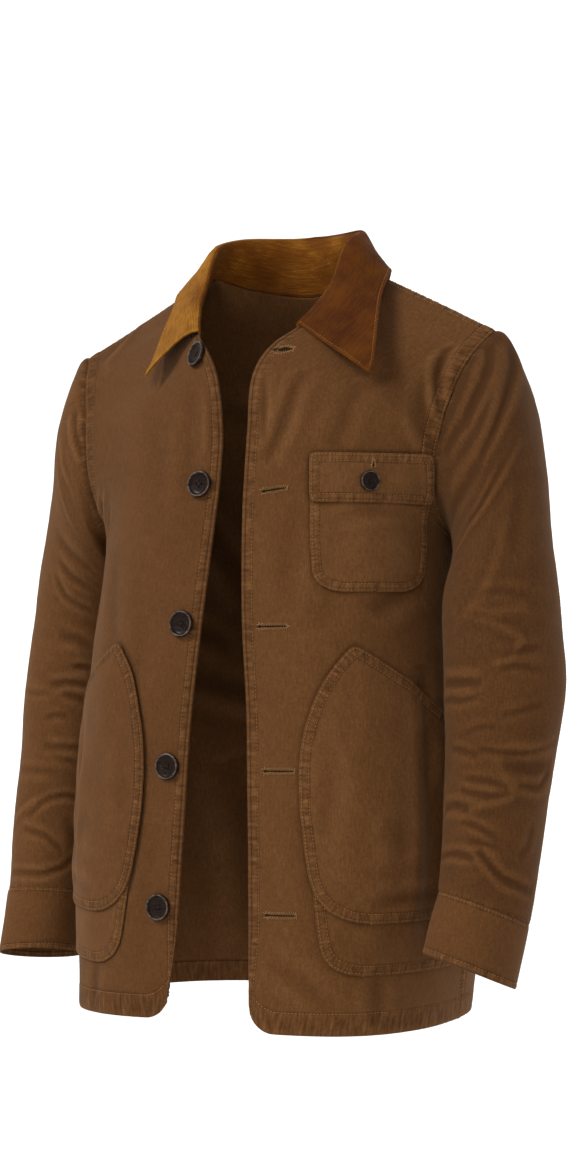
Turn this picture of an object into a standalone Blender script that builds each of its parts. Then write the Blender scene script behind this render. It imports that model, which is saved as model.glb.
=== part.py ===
# A waist-length barn jacket worn open: canvas body and sleeves, corduroy collar,
# patch pockets and four-hole buttons. Metres, +Z up, the front faces -Y and the
# wearer's left is +X. The origin lies between the two neck ends of the shoulder seams.
import bpy
import bmesh
import numpy as np
from math import cos, sin, pi, radians
from mathutils import Matrix, Vector

wall = 0.002             # canvas panel
patchWall = 0.0012       # pockets and flap, one folded layer
patchStep = 0.024        # longest step between the rows of a pocket
collarWall = 0.0025      # corduroy collar
seamGap = 0.0003
panelTrim = 0.0008       # share of a panel left off along its seams
layGap = 0.0007          # between a panel and what is sewn on it
armholeGap = 0.0008      # between the armhole's edge and the sleeve's
foldGap = 0.0020         # more room where the sleeve turns sharply under the arm
cuffGap = 0.0005
shoulderTilt = 0.030     # the right shoulder hangs a little lower
tiltFloor = -0.30        # height where that tilt has died out
hemCorner = 0.024        # radius of the rounded lower front corners
hemFade = 0.10           # height over which that rounding dies out
pleatDepth = 0.006
pleatAt = 0.87           # place of the shoulder pleat across each half of the back
pleatWidth = 0.035
pleatFrom = 0.45         # share of the back's height where the pleat starts
pleatGrow = 0.25
pleatTurnFrom = 0.85     # share where it begins to follow the shoulder over the top
pleatTurn = 0.12
pleatLean = 0.3
bodyColumns = 11
bodyRows = 20
lastRow = 0.98           # one more row close below the shoulder seam
sleeveRows = 14
sleeveFrontColumns = 10
sleeveBackColumns = 8
sleeveSeamGap = 0.0022   # share of a turn left between the two halves of a sleeve
cuffColumns = 18
cuffRows = 2
collarColumnsPerSide = 8
hipColumns = 9
chestColumns = 7
buttonRadius = 0.0125
smallButtonRadius = 0.0096
buttonHeight = 0.0038
buttonSides = 24
holeShare = 0.085        # of the button's radius, as are the next two
holeSpread = 0.21
rimWidth = 0.17
edgeRound = 0.22         # of the button's height, as is the next
dishDepth = 0.3
buttonColumns = ("height", "inset")
buttonRows = [(-0.088, 0.014), (-0.210, 0.020), (-0.338, 0.020), (-0.468, 0.020), (-0.596, 0.020)]

# Side seam, then the front and back halves of the armhole, for the left half.
seamColumns = ("level", "x", "y", "z", "lean")
sideSeam = [
    ("hem", 0.184, -0.004, -0.708, 0),
    ("low", 0.194, -0.003, -0.610, 0),
    ("hip", 0.195, 0.000, -0.510, 0),
    ("waist", 0.190, 0.004, -0.410, 0),
    ("rib", 0.183, 0.008, -0.320, 0),
    ("under", 0.178, 0.010, -0.262, 0),
]
armholeFront = [
    ("hollow", 0.176, -0.042, -0.238, 25),
    ("chest", 0.180, -0.062, -0.200, 50),
    ("breast", 0.186, -0.060, -0.162, 62),
    ("throat", 0.193, -0.048, -0.128, 72),
    ("join", 0.201, -0.034, -0.102, 80),
    ("neck", 0.210, -0.014, -0.081, 86),
    ("top", 0.2165, 0.005, -0.070, 90),
]
armholeBack = [
    ("hollow", 0.177, 0.058, -0.238, 25),
    ("chest", 0.184, 0.077, -0.198, 50),
    ("breast", 0.192, 0.074, -0.158, 62),
    ("throat", 0.199, 0.060, -0.124, 72),
    ("join", 0.206, 0.042, -0.099, 80),
    ("neck", 0.212, 0.024, -0.081, 86),
    ("top", 0.2165, 0.005, -0.070, 90),
]

# Front edge and front neckline. A row leaves the edge over the length reach, turned
# backwards by turn degrees, and comes forward from the side over the length draw.
edgeColumns = ("level", "x", "y", "z", "reach", "draw", "turn")
leftEdge = [
    ("hem", 0.043, -0.168, -0.707, 0.115, 0.095, 0),
    ("low", 0.0415, -0.166, -0.608, 0.112, 0.095, 0),
    ("hip", 0.040, -0.164, -0.510, 0.110, 0.093, 0),
    ("waist", 0.037, -0.162, -0.411, 0.108, 0.092, 0),
    ("rib", 0.031, -0.159, -0.315, 0.105, 0.092, 0),
    ("under", 0.0298, -0.1545, -0.245, 0.100, 0.090, 0),
    ("hollow", 0.030, -0.151, -0.205, 0.092, 0.056, 0),
    ("chest", 0.031, -0.146, -0.160, 0.085, 0.048, 0),
    ("breast", 0.031, -0.136, -0.112, 0.078, 0.046, 0),
    ("throat", 0.043, -0.121, -0.083, 0.060, 0.045, 0),
    ("join", 0.060, -0.101, -0.066, 0.045, 0.045, 0),
    ("neck", 0.076, -0.050, -0.036, 0.040, 0.045, 0),
    ("top", 0.080, 0.000, 0.000, 0.045, 0.045, 0),
]
rightEdge = [
    ("hem", 0.028, -0.190, -0.696, 0.118, 0.100, 0),
    ("low", 0.020, -0.186, -0.608, 0.115, 0.100, 0),
    ("hip", 0.0155, -0.181, -0.510, 0.114, 0.098, 0),
    ("waist", 0.0115, -0.174, -0.411, 0.112, 0.095, 0),
    ("rib", 0.0022, -0.166, -0.315, 0.110, 0.092, 0),
    ("under", -0.0035, -0.1585, -0.245, 0.105, 0.090, 0),
    ("hollow", -0.0065, -0.153, -0.205, 0.098, 0.056, 0),
    ("chest", -0.0065, -0.147, -0.160, 0.090, 0.048, 0),
    ("breast", 0.0025, -0.140, -0.112, 0.082, 0.046, 10),
    ("throat", 0.0180, -0.132, -0.083, 0.062, 0.045, 30),
    ("join", 0.0380, -0.107, -0.067, 0.048, 0.045, 25),
    ("neck", 0.066, -0.050, -0.036, 0.042, 0.045, 0),
    ("top", 0.074, 0.000, 0.000, 0.045, 0.045, 0),
]
backLine = [
    ("hem", 0.0, 0.150, -0.712, 0.118, 0.088, 0),
    ("low", 0.0, 0.146, -0.610, 0.116, 0.086, 0),
    ("hip", 0.0, 0.138, -0.510, 0.114, 0.082, 0),
    ("waist", 0.0, 0.124, -0.410, 0.108, 0.076, 0),
    ("rib", 0.0, 0.127, -0.320, 0.104, 0.076, 0),
    ("under", 0.0, 0.133, -0.255, 0.100, 0.078, 0),
    ("hollow", 0.0, 0.136, -0.215, 0.095, 0.050, 0),
    ("chest", 0.0, 0.134, -0.175, 0.090, 0.045, 0),
    ("breast", 0.0, 0.125, -0.135, 0.085, 0.045, 0),
    ("throat", 0.0, 0.109, -0.096, 0.080, 0.045, 0),
    ("join", 0.0, 0.091, -0.060, 0.075, 0.045, 0),
    ("neck", 0.0, 0.077, -0.036, 0.070, 0.045, 0),
    ("top", 0.0, 0.066, -0.018, 0.045, 0.045, 0),
]
neckShare = 0.38         # part of the back's top row that is neckline
neckReach = 0.60         # how straight the back neckline leaves the centre
neckDraw = 0.55          # and how it comes round to the shoulder
neckRise = 0.004
halfBack = (0, 0.13, 0.26, neckShare, 0.50, 0.62, 0.73, 0.82, 0.87, 0.92, 1 - panelTrim)
underSlope = 0.10        # rise of the armhole as it leaves the underarm

# Rings of each sleeve from the armhole to the cuff seam and the cuff's two ends.
# x is outward; tilt raises the outer side of a ring and pitch raises its front.
ringColumns = ("ring", "x", "y", "z", "width", "depth", "tilt", "pitch")
leftRings = [
    ("cap", 0.219, -0.008, -0.200, 0.086, 0.067, 68, 0),
    ("upper", 0.229, -0.024, -0.241, 0.068, 0.064, 54, 4),
    ("bicep", 0.237, -0.043, -0.290, 0.0565, 0.061, 32, 9),
    ("arm", 0.245, -0.056, -0.345, 0.055, 0.059, 13, 10),
    ("elbow", 0.251, -0.066, -0.405, 0.0535, 0.057, 4, 7),
    ("fore", 0.248, -0.074, -0.470, 0.048, 0.052, -2, 9),
    ("low", 0.246, -0.087, -0.535, 0.044, 0.047, -9, 13),
    ("seam", 0.244, -0.101, -0.592, 0.041, 0.0435, -16, 16),
    ("wrist", 0.2375, -0.122, -0.645, 0.042, 0.0435, -17, 16),
]
rightRings = [
    ("cap", 0.211, 0.010, -0.208, 0.084, 0.067, 70, 0),
    ("upper", 0.222, 0.028, -0.248, 0.066, 0.064, 54, -6),
    ("bicep", 0.236, 0.044, -0.295, 0.0565, 0.061, 30, -8),
    ("arm", 0.246, 0.051, -0.350, 0.055, 0.059, 13, -3),
    ("elbow", 0.257, 0.051, -0.415, 0.0535, 0.057, 6, 4),
    ("fore", 0.264, 0.043, -0.485, 0.049, 0.052, 3, 9),
    ("low", 0.268, 0.029, -0.553, 0.0445, 0.048, 1, 12),
    ("seam", 0.270, 0.014, -0.616, 0.041, 0.0435, -3, 13),
    ("wrist", 0.270, -0.003, -0.675, 0.042, 0.0435, -6, 13),
]
backSeamAt = 0.945       # sleeve seams, as shares of the turn from the outer side forward
underSeamAt = 0.5
armholeMiddle = (0.190, 0.005, -0.165)
capFlare = 0.35          # how far the sleeve spreads as it leaves the armhole
capPull = 0.9

# Collar, from the centre back to the front: where along the neckline, how high the
# stand rises and how far it leans out there, and the outer rim of the fall.
collarColumns = ("place", "along", "rise", "lean", "x", "y", "z")
collarRows = [
    ("back", 0.00, 0.060, 0.006, 0.000, 0.103, -0.020),
    ("turn", 0.27, 0.048, -0.005, 0.064, 0.082, -0.016),
    ("side", 0.50, 0.026, -0.008, 0.106, 0.014, -0.005),
    ("fore", 0.76, 0.015, -0.003, 0.110, -0.052, -0.040),
    ("join", 1.00, 0.004, 0.001, 0.115, -0.121, -0.108),
]
rimShift = 0.0265        # how far the open collar's points have slid to the left
rimDrop = 0.005          # and how far the left point hangs lower than the right
rimFront = 0.11          # distance forward at which that slide is complete
standSeat = -0.0005      # how far the stand's lower edge reaches past the panel's face
standFront = 0.0040      # how much higher it starts along the fronts' slope
standFrontFrom = 0.33
standFrontGrow = 0.10
rollOut = 0.8            # how far the cloth leans outwards as it turns over the roll
rollRise = 0.04          # rise at which the roll stands as steep as it gets
fallSwell = 0.74
rimPull = 0.9            # how straight it reaches the rim
rimDip = 0.25            # and how much it hangs there
frontDrop = 0.45         # how far the left leaf's front edge leaves the roll downwards
frontDropFrom = 0.72
standShort = 3 * seamGap
fallShort = 9 * seamGap
standShares = (0, 0.50, 0.85, 1)
fallShares = (0, 0.06, 0.16, 0.32, 0.52, 0.76, 1)

# Pockets, as heights and the two sides measured along the cloth from the front edge.
pocketColumns = ("height", "front", "back")
hipPocket = [
    (-0.607, 0.098, 0.236),
    (-0.597, 0.078, 0.239),
    (-0.578, 0.0605, 0.240),
    (-0.545, 0.0545, 0.240),
    (-0.507, 0.0505, 0.239),
    (-0.470, 0.050, 0.238),
    (-0.448, 0.052, 0.236),
    (-0.430, 0.056, 0.210),
    (-0.409, 0.0635, 0.183),
    (-0.390, 0.073, 0.157),
    (-0.375, 0.084, 0.133),
    (-0.359, 0.0985, 0.107),
]
hipPatch = [
    (-0.6535, 0.095, 0.236),
    (-0.6445, 0.079, 0.239),
    (-0.632, 0.0695, 0.240),
    (-0.615, 0.0655, 0.240),
    (-0.580, 0.0615, 0.240),
    (-0.545, 0.0560, 0.240),
    (-0.507, 0.0520, 0.239),
]
pocketSlide = -0.005     # the right hip pocket lies a little nearer its front edge
chestPocket = [
    (-0.3085, 0.087, 0.164),
    (-0.304, 0.075, 0.174),
    (-0.294, 0.067, 0.181),
    (-0.262, 0.0645, 0.185),
    (-0.205, 0.063, 0.184),
]
chestFlap = [
    (-0.2275, 0.064, 0.184),
    (-0.2200, 0.0625, 0.1855),
    (-0.200, 0.0615, 0.182),
    (-0.1825, 0.0605, 0.178),
]
flapButtonAt = 0.116
flapButtonHeight = -0.208


upward = np.array((0.0, 0.0, 1.0))


def record(columns, rows):
    return [dict(zip(columns, row)) for row in rows]


def point(row):
    return np.array((row["x"], row["y"], row["z"]))


def knotsOf(points):
    steps = np.linalg.norm(np.diff(points, axis=0), axis=-1)
    return np.concatenate(([0.0], np.cumsum(steps)))


def bezier(a, b, c, d, u):
    u = u[:, None]
    return a * (1 - u) ** 3 + 3 * b * u * (1 - u) ** 2 + 3 * c * u ** 2 * (1 - u) + d * u ** 3


def hermite(a, b, slopeA, slopeB, s):
    low = a * (1 + 2 * s) + slopeA * s
    high = b * (3 - 2 * s) - slopeB * (1 - s)
    return low * (1 - s) ** 2 + high * s ** 2


# Cubic through the table rows; first and last set the slopes at the two ends.
def blend(knots, values, t, first=None, last=None):
    steps = np.diff(knots)
    shape = (-1,) + (1,) * (values.ndim - 1)
    slopes = np.diff(values, axis=0) / steps.reshape(shape)
    before = steps[:-1].reshape(shape)
    after = steps[1:].reshape(shape)
    inner = (slopes[:-1] * after + slopes[1:] * before) / (before + after)
    start = slopes[:1] if first is None else np.broadcast_to(first, values[:1].shape)
    finish = slopes[-1:] if last is None else np.broadcast_to(last, values[:1].shape)
    tangents = np.concatenate((start, inner, finish))
    index = np.clip(np.searchsorted(knots, t, side="right") - 1, 0, len(steps) - 1)
    size = steps[index].reshape(shape)
    s = ((t - knots[index]) / steps[index]).reshape(shape)
    return hermite(values[index], values[index + 1], tangents[index] * size,
                   tangents[index + 1] * size, s)


# One row of a panel, from its front edge or centre back out to its side.
def rowCurve(edge, side, facing, u):
    start = point(edge)
    end = point(side)
    drop = (end[2] - start[2]) / 3
    lean = radians(side["lean"])
    turn = radians(edge["turn"])
    leave = np.array((cos(turn) * edge["reach"], -facing * sin(turn) * edge["reach"], drop))
    arrive = np.array((-sin(lean) * edge["draw"], facing * cos(lean) * edge["draw"], -drop))
    return bezier(start, start + leave, end + arrive, end, u)


def shoulderCurve(edges, share):
    top = record(edgeColumns, edges)[-1]
    tip = record(seamColumns, armholeFront)[-1]
    return rowCurve(top, tip, -1, share)


# The back's top row: the neckline to the shoulder seam, then along that seam.
def backTopCurve(edges, u):
    top = record(edgeColumns, backLine)[-1]
    neck = shoulderCurve(edges, np.zeros(1))[0]
    start = point(top)
    reach = np.array((neckReach * neck[0], 0.0, neckRise))
    arrive = np.array((0.0, neckDraw * start[1], -neckRise))
    along = bezier(start, start + reach, neck + arrive, neck, np.clip(u / neckShare, 0, 1))
    share = np.clip((u - neckShare) / (1 - neckShare), 0, 1)
    return np.where((u < neckShare)[:, None], along, shoulderCurve(edges, share))


def stance(points, mirror):
    points = points * np.array((mirror, 1.0, 1.0))
    fade = np.clip((points[..., 2] - tiltFloor) / -tiltFloor, 0, 1)
    points[..., 2] += shoulderTilt * points[..., 0] * fade
    return points


# The side seam up to the underarm, then the armhole up to the shoulder tip.
def sideLine(armhole, facing, places):
    seam = np.array([point(row) for row in record(seamColumns, sideSeam)])
    arm = np.array([point(row) for row in record(seamColumns, sideSeam[-1:] + armhole)])
    seamKnots = knotsOf(seam)
    armKnots = knotsOf(arm) + seamKnots[-1]
    below = blend(seamKnots, seam, np.minimum(places, seamKnots[-1]))
    above = blend(armKnots, arm, np.maximum(places, seamKnots[-1]),
                  first=np.array((0.0, facing, underSlope)), last=np.array((0.0, -facing, 0.0)))
    return np.where((places < seamKnots[-1])[:, None], below, above)


def sideKnots(armhole):
    return knotsOf(np.array([point(row) for row in record(seamColumns, sideSeam + armhole)]))


# A panel through its table rows, ending exactly on its side seam and armhole.
def panel(curves, armhole, facing, share, cross, u):
    knots = sideKnots(armhole)
    places = share * knots[-1]
    reach = np.linalg.norm(curves[-1] - curves[-2], axis=-1, keepdims=True)
    last = cross * reach / (knots[-1] - knots[-2])
    points = blend(knots, curves, places, last=last[None])
    side = sideLine(armhole, facing, places)
    edge = blend(knots, np.array([curve[-1:] for curve in curves]), places, last=last[None, -1:])
    return points + (side[:, None] - edge) * (u ** 3)[None, :, None]


def frontShape(edges, u, share):
    inner = record(edgeColumns, edges)
    outer = record(seamColumns, sideSeam + armholeFront)
    reach = np.append(u, 1.0)
    curves = np.array([rowCurve(a, b, -1, reach) for a, b in zip(inner, outer)])
    cross = np.array((0.0, 1.0, 0.0))
    points = panel(curves, armholeFront, -1, share, cross, reach)[:, :-1]
    across = np.linalg.norm(points - points[:, :1], axis=-1)
    near = np.clip(1 - across / hemCorner, 0, 1)
    lift = hemCorner * (1 - np.sqrt(1 - near ** 2))
    low = np.clip(1 - (points[..., 2] - curves[0, :-1, 2]) / hemFade, 0, 1)
    points[..., 2] += lift * low
    return points


def frontPoints(mirror, u, share):
    return stance(frontShape(leftEdge if mirror > 0 else rightEdge, u, share), mirror)


def backPoints(mirror, u, share):
    edges = leftEdge if mirror > 0 else rightEdge
    inner = record(edgeColumns, backLine)
    outer = record(seamColumns, sideSeam + armholeBack)
    reach = np.append(u, 1.0)
    curves = [rowCurve(a, b, 1, reach) for a, b in zip(inner[:-1], outer[:-1])]
    curves = np.array(curves + [backTopCurve(edges, reach)])
    cross = np.where((reach > neckShare)[:, None], (0.0, -1.0, 0.0), (0.0, -0.4, 0.9))
    points = panel(curves, armholeBack, 1, share, cross, reach)[:, :-1]
    fold = np.exp(-((u - pleatAt) / pleatWidth) ** 4)[None] * pleatDepth
    deep = np.clip((share - pleatFrom) / pleatGrow, 0, 1)[:, None]
    slope = pi / 2 * np.clip((share - pleatTurnFrom) / pleatTurn, 0, 1)[:, None]
    points[..., 1] -= fold * deep * (np.cos(slope) - pleatLean * np.sin(slope))
    points[..., 2] -= fold * deep * np.sin(slope)
    return stance(points, mirror)


# Places on a front panel from the distance along the cloth and the height.
def frontChart(mirror):
    u = np.linspace(0, 1, 61)
    share = np.linspace(0, 1, 161)
    points = frontPoints(mirror, u, share)
    steps = np.linalg.norm(np.diff(points, axis=1), axis=-1)
    across = np.concatenate((np.zeros((len(share), 1)), np.cumsum(steps, axis=1)), axis=1)
    turn = np.cross(np.gradient(points, axis=1), np.gradient(points, axis=0)) * mirror
    normals = turn / np.linalg.norm(turn, axis=-1, keepdims=True)
    return dict(u=u, points=points, across=across, normals=normals)


def onFront(chart, across, height, lift):
    along = chart["across"]
    column = np.array([np.searchsorted(line, across) for line in along]).clip(1, along.shape[1] - 1)
    row = np.arange(len(along))
    before = along[row, column - 1]
    part = ((across - before) / (along[row, column] - before)).clip(0, 1)[:, None]
    rowPoints = chart["points"][row, column - 1] * (1 - part) + chart["points"][row, column] * part
    rowNormals = chart["normals"][row, column - 1] * (1 - part) + chart["normals"][row, column] * part
    place = [np.interp(height, rowPoints[:, 2], rowPoints[:, axis]) for axis in range(3)]
    normal = np.array([np.interp(height, rowPoints[:, 2], rowNormals[:, axis]) for axis in range(3)])
    normal /= np.linalg.norm(normal)
    return np.array(place) + normal * lift, normal


def ringPoints(ring, mirror, turn):
    tilt = radians(ring["tilt"])
    pitch = radians(ring["pitch"])
    outward = np.array((cos(tilt), 0.0, sin(tilt))) * ring["width"]
    forward = np.array((0.0, -cos(pitch), sin(pitch))) * ring["depth"]
    angle = (2 * pi * turn)[:, None]
    points = point(ring) + outward * np.cos(angle) + forward * np.sin(angle)
    return points * np.array((mirror, 1.0, 1.0))


# The armhole as one loop: from the shoulder tip forward, under and up the back.
def armholeLoop(mirror, turn):
    turn = turn % 1.0
    halves = []
    for armhole, facing, rise in ((armholeFront, -1, 1 - 2 * turn), (armholeBack, 1, 2 * turn - 1)):
        knots = sideKnots(armhole)
        under = knots[len(sideSeam) - 1]
        halves.append(sideLine(armhole, facing, under + (knots[-1] - under) * np.clip(rise, 0, 1)))
    return stance(np.where((turn < 0.5)[:, None], halves[0], halves[1]), mirror)


def sleevePoints(mirror, turn, share, rings):
    table = record(ringColumns, rings[:-1])
    loop = armholeLoop(mirror, turn)
    centre = loop.mean(axis=0)
    spread = loop - centre
    spread /= np.linalg.norm(spread, axis=-1, keepdims=True)
    leave = np.array((mirror, 0.0, 0.0)) + capFlare * spread
    leave /= np.linalg.norm(leave, axis=-1, keepdims=True)
    bend = 0.5 - 0.5 * np.cos(2 * pi * turn)[:, None]
    loop = loop + leave * (armholeGap + foldGap * bend)
    curves = np.array([loop] + [ringPoints(ring, mirror, turn) for ring in table])
    knots = knotsOf(np.array([armholeMiddle] + [point(ring) for ring in table]))
    return blend(knots, curves, share * knots[-1], first=leave[None] * capPull)


def cuffPoints(mirror, turn, share, rings):
    seam, wrist = record(ringColumns, rings[-2:])
    high = ringPoints(seam, mirror, turn)
    low = ringPoints(wrist, mirror, turn)
    start = cuffGap / np.linalg.norm(point(seam) - point(wrist))
    t = (start + (1 - start) * share)[:, None, None]
    return high * (1 - t) + low * t


# The panels' neckline, from the centre back over the shoulder seam to the front.
def neckline(mirror, along):
    edges = leftEdge if mirror > 0 else rightEdge
    behind = backTopCurve(edges, np.linspace(0, neckShare, 13))
    knots = sideKnots(armholeFront)
    ahead = frontShape(edges, np.zeros(1), np.linspace(1, knots[-3] / knots[-1], 13))[:, 0]
    line = np.concatenate((behind, ahead[1:]))
    lengths = knotsOf(line)
    places = along * lengths[-1]
    return np.array([np.interp(places, lengths, line[:, axis]) for axis in range(3)]).T


# The left leaf's front edge lies down on the panel; the right one stands over it.
def leafFront(mirror, along):
    return np.clip((along - frontDropFrom) / (1 - frontDropFrom), 0, 1) * (mirror > 0)


def collarLines(mirror, along):
    table = record(collarColumns, collarRows)
    knots = np.array([row["along"] for row in table])
    rise, lean = blend(knots, np.array([[row["rise"], row["lean"]] for row in table]), along).T
    rim = blend(knots, np.array([point(row) for row in table]), along)
    ahead = np.clip(-rim[:, 1] / rimFront, 0, 1)
    rim[:, 0] += mirror * rimShift * ahead
    rim[:, 2] -= mirror * rimDrop * ahead
    neck = neckline(mirror, along)
    away = rim - neck
    away[:, 2] = 0
    away /= np.linalg.norm(away, axis=-1, keepdims=True)
    roll = neck + away * lean[:, None] + upward * rise[:, None]
    steep = np.clip(rise / rollRise, 0.1, rollOut) - frontDrop * leafFront(mirror, along)
    turned = away * rollOut + upward * steep[:, None]
    turned /= np.linalg.norm(turned, axis=-1, keepdims=True)
    lines = stance(np.array((neck, roll, rim)), mirror)
    return lines[0], lines[1], lines[2], turned * np.array((mirror, 1.0, 1.0))


def standPoints(mirror, along, share):
    neck, roll, rim, turned = collarLines(mirror, along)
    ahead = np.clip((along - standFrontFrom) / standFrontGrow, 0, 1)[:, None]
    low = neck + upward * (wall / 2 + seamGap + standSeat + standFront * ahead)
    height = np.linalg.norm(roll - low, axis=-1, keepdims=True)
    s = share[:, None, None] * (1 - standShort / height)
    return hermite(low, roll, upward * height, turned * height, s)


def fallPoints(mirror, along, share):
    neck, roll, rim, turned = collarLines(mirror, along)
    width = np.linalg.norm(rim - roll, axis=-1, keepdims=True)
    dip = rimDip * (1 - leafFront(mirror, along))[:, None]
    arrive = (rim - roll) * rimPull - upward * dip * width
    start = fallShort / width
    s = start + (1 - start) * share[:, None, None]
    return hermite(roll, rim, turned * width * fallSwell, arrive, s)


collection = bpy.data.collections.new("barn_jacket")
cutters = bpy.data.collections.new("barn_jacket_cutters")


def clearScene():
    for item in list(bpy.data.objects):
        bpy.data.objects.remove(item, do_unlink=True)
    bpy.context.scene.collection.children.link(collection)
    bpy.context.scene.collection.children.link(cutters)


def finish(item, name, colour, roughness):
    material = bpy.data.materials.new(name + "_material")
    material.use_nodes = True
    shader = material.node_tree.nodes["Principled BSDF"]
    shader.inputs["Base Color"].default_value = (*colour, 1.0)
    shader.inputs["Roughness"].default_value = roughness
    item.data.materials.append(material)
    return item


# A cloth piece: a grid laid on the given rows of points, thickened by Solidify.
def sheet(name, points, thickness, colour, closed=False, flip=False, roughness=0.85):
    rows, columns = points.shape[:2]
    work = bmesh.new()
    bmesh.ops.create_grid(work, x_segments=columns - 1, y_segments=rows - 1, size=1.0)
    for vertex in work.verts:
        column = round((vertex.co.x + 1) / 2 * (columns - 1))
        row = round((vertex.co.y + 1) / 2 * (rows - 1))
        vertex.co = points[row, column]
    if closed:
        bmesh.ops.remove_doubles(work, verts=work.verts, dist=0.00002)
    if flip:
        bmesh.ops.reverse_faces(work, faces=work.faces)
    mesh = bpy.data.meshes.new(name)
    work.to_mesh(mesh)
    work.free()
    item = bpy.data.objects.new(name, mesh)
    collection.objects.link(item)
    thicken = item.modifiers.new("Thickness", "SOLIDIFY")
    thicken.thickness = thickness
    thicken.offset = 0.0
    thicken.use_even_offset = True
    mesh.shade_smooth()
    return finish(item, name, colour, roughness)


canvas = (0.130, 0.062, 0.024)
corduroy = (0.235, 0.105, 0.022)
horn = (0.024, 0.014, 0.011)


def shares(parts):
    return np.linspace(0, 1, parts + 1)


def buildBody():
    across = shares(bodyColumns) * (1 - panelTrim)
    up = np.append(shares(bodyRows)[:-1], (lastRow, 1.0)) * (1 - panelTrim)
    sheet("front_left", frontPoints(1, across, up), wall, canvas)
    sheet("front_right", frontPoints(-1, across, up), wall, canvas, flip=True)
    left = backPoints(1, np.array(halfBack), up)
    right = backPoints(-1, np.array(halfBack), up)
    whole = np.concatenate((right[:, :0:-1], left), axis=1)
    sheet("back", whole, wall, canvas)


def buildSleeves():
    for word, mirror, rings in (("left", 1, leftRings), ("right", -1, rightRings)):
        down = shares(sleeveRows)
        gap = sleeveSeamGap
        front = np.linspace(backSeamAt - 1 + gap, underSeamAt - gap, sleeveFrontColumns + 1)
        back = np.linspace(underSeamAt + gap, backSeamAt - gap, sleeveBackColumns + 1)
        turned = mirror < 0
        sheet("sleeve_front_" + word, sleevePoints(mirror, front, down, rings), wall, canvas, flip=turned)
        sheet("sleeve_back_" + word, sleevePoints(mirror, back, down, rings), wall, canvas, flip=turned)
        ring = cuffPoints(mirror, shares(cuffColumns), shares(cuffRows), rings)
        sheet("cuff_" + word, ring, wall, canvas, closed=True, flip=turned)


def buildCollar():
    places = shares(collarColumnsPerSide)
    parts = (("collar_stand", standShares, standPoints), ("collar", fallShares, fallPoints))
    for name, rows, make in parts:
        left = make(1, places, np.array(rows))
        right = make(-1, places, np.array(rows))
        whole = np.concatenate((right[:, :0:-1], left), axis=1)
        sheet(name, whole, collarWall, corduroy, flip=True, roughness=0.9)


def patchPoints(chart, table, lift, parts, slide=0.0):
    rows = np.array([(row["height"], row["front"] + slide, row["back"])
                     for row in record(pocketColumns, table)])
    grid = []
    for low, high in zip(rows[:-1], rows[1:]):
        count = int(np.ceil((high[0] - low[0]) / patchStep))
        grid += [low + (high - low) * part / count for part in range(count)]
    grid.append(rows[-1])
    return np.array([[onFront(chart, front + (back - front) * place, height, lift)[0]
                      for place in shares(parts)] for height, front, back in grid])


def buildPockets():
    first = wall / 2 + layGap + patchWall / 2
    second = first + layGap + patchWall
    flapLift = second + 2 * seamGap
    for word, mirror in (("left", 1), ("right", -1)):
        chart = frontChart(mirror)
        turned = mirror < 0
        slide = pocketSlide if turned else 0.0
        under = patchPoints(chart, hipPatch, first, hipColumns, slide)
        over = patchPoints(chart, hipPocket, second, hipColumns, slide)
        sheet("hip_under_" + word, under, patchWall, canvas, flip=turned)
        sheet("hip_pocket_" + word, over, patchWall, canvas, flip=turned)
    chart = frontChart(1)
    sheet("chest_pocket", patchPoints(chart, chestPocket, first, chestColumns), patchWall, canvas)
    sheet("chest_flap", patchPoints(chart, chestFlap, flapLift, chestColumns), patchWall, canvas)
    return flapLift + patchWall / 2


def drill(name, place, radius):
    work = bmesh.new()
    for corner in range(4):
        angle = pi / 4 + corner * pi / 2
        across = radius * holeSpread
        offset = Matrix.Translation((cos(angle) * across, sin(angle) * across, 0))
        bmesh.ops.create_cone(work, cap_ends=True, segments=8, radius1=radius * holeShare,
                              radius2=radius * holeShare, depth=buttonHeight * 4, matrix=offset)
    mesh = bpy.data.meshes.new(name)
    work.to_mesh(mesh)
    work.free()
    cutter = bpy.data.objects.new(name, mesh)
    cutters.objects.link(cutter)
    cutter.matrix_world = place
    cutter.hide_render = True
    cutter.display_type = "WIRE"
    return cutter


# A round button with softened edges, a raised rim and four thread holes.
def button(name, place, normal, radius):
    rim = radius * rimWidth / 2
    work = bmesh.new()
    middle = Matrix.Translation((0, 0, buttonHeight / 2))
    bmesh.ops.create_cone(work, cap_ends=True, segments=buttonSides, radius1=radius,
                          radius2=radius, depth=buttonHeight, matrix=middle)
    borders = [edge for edge in work.edges if abs(edge.verts[0].co.z - edge.verts[1].co.z) < 1e-6]
    bmesh.ops.bevel(work, geom=borders, offset=buttonHeight * edgeRound, segments=2,
                    profile=0.5, affect="EDGES")
    top = max(work.faces, key=lambda face: face.calc_center_median().z)
    bmesh.ops.inset_individual(work, faces=[top], thickness=rim, depth=0)
    bmesh.ops.inset_individual(work, faces=[top], thickness=rim, depth=-buttonHeight * dishDepth)
    mesh = bpy.data.meshes.new(name)
    work.to_mesh(mesh)
    work.free()
    mesh.shade_smooth()
    mesh.set_sharp_from_angle(angle=radians(35))
    item = bpy.data.objects.new(name, mesh)
    collection.objects.link(item)
    facing = Vector(normal).to_track_quat("Z", "Y").to_matrix().to_4x4()
    item.matrix_world = Matrix.Translation(Vector(place)) @ facing
    cut = item.modifiers.new("Holes", "BOOLEAN")
    cut.object = drill(name + "_holes", item.matrix_world, radius)
    cut.solver = "EXACT"
    return finish(item, name, horn, 0.35)


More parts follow.
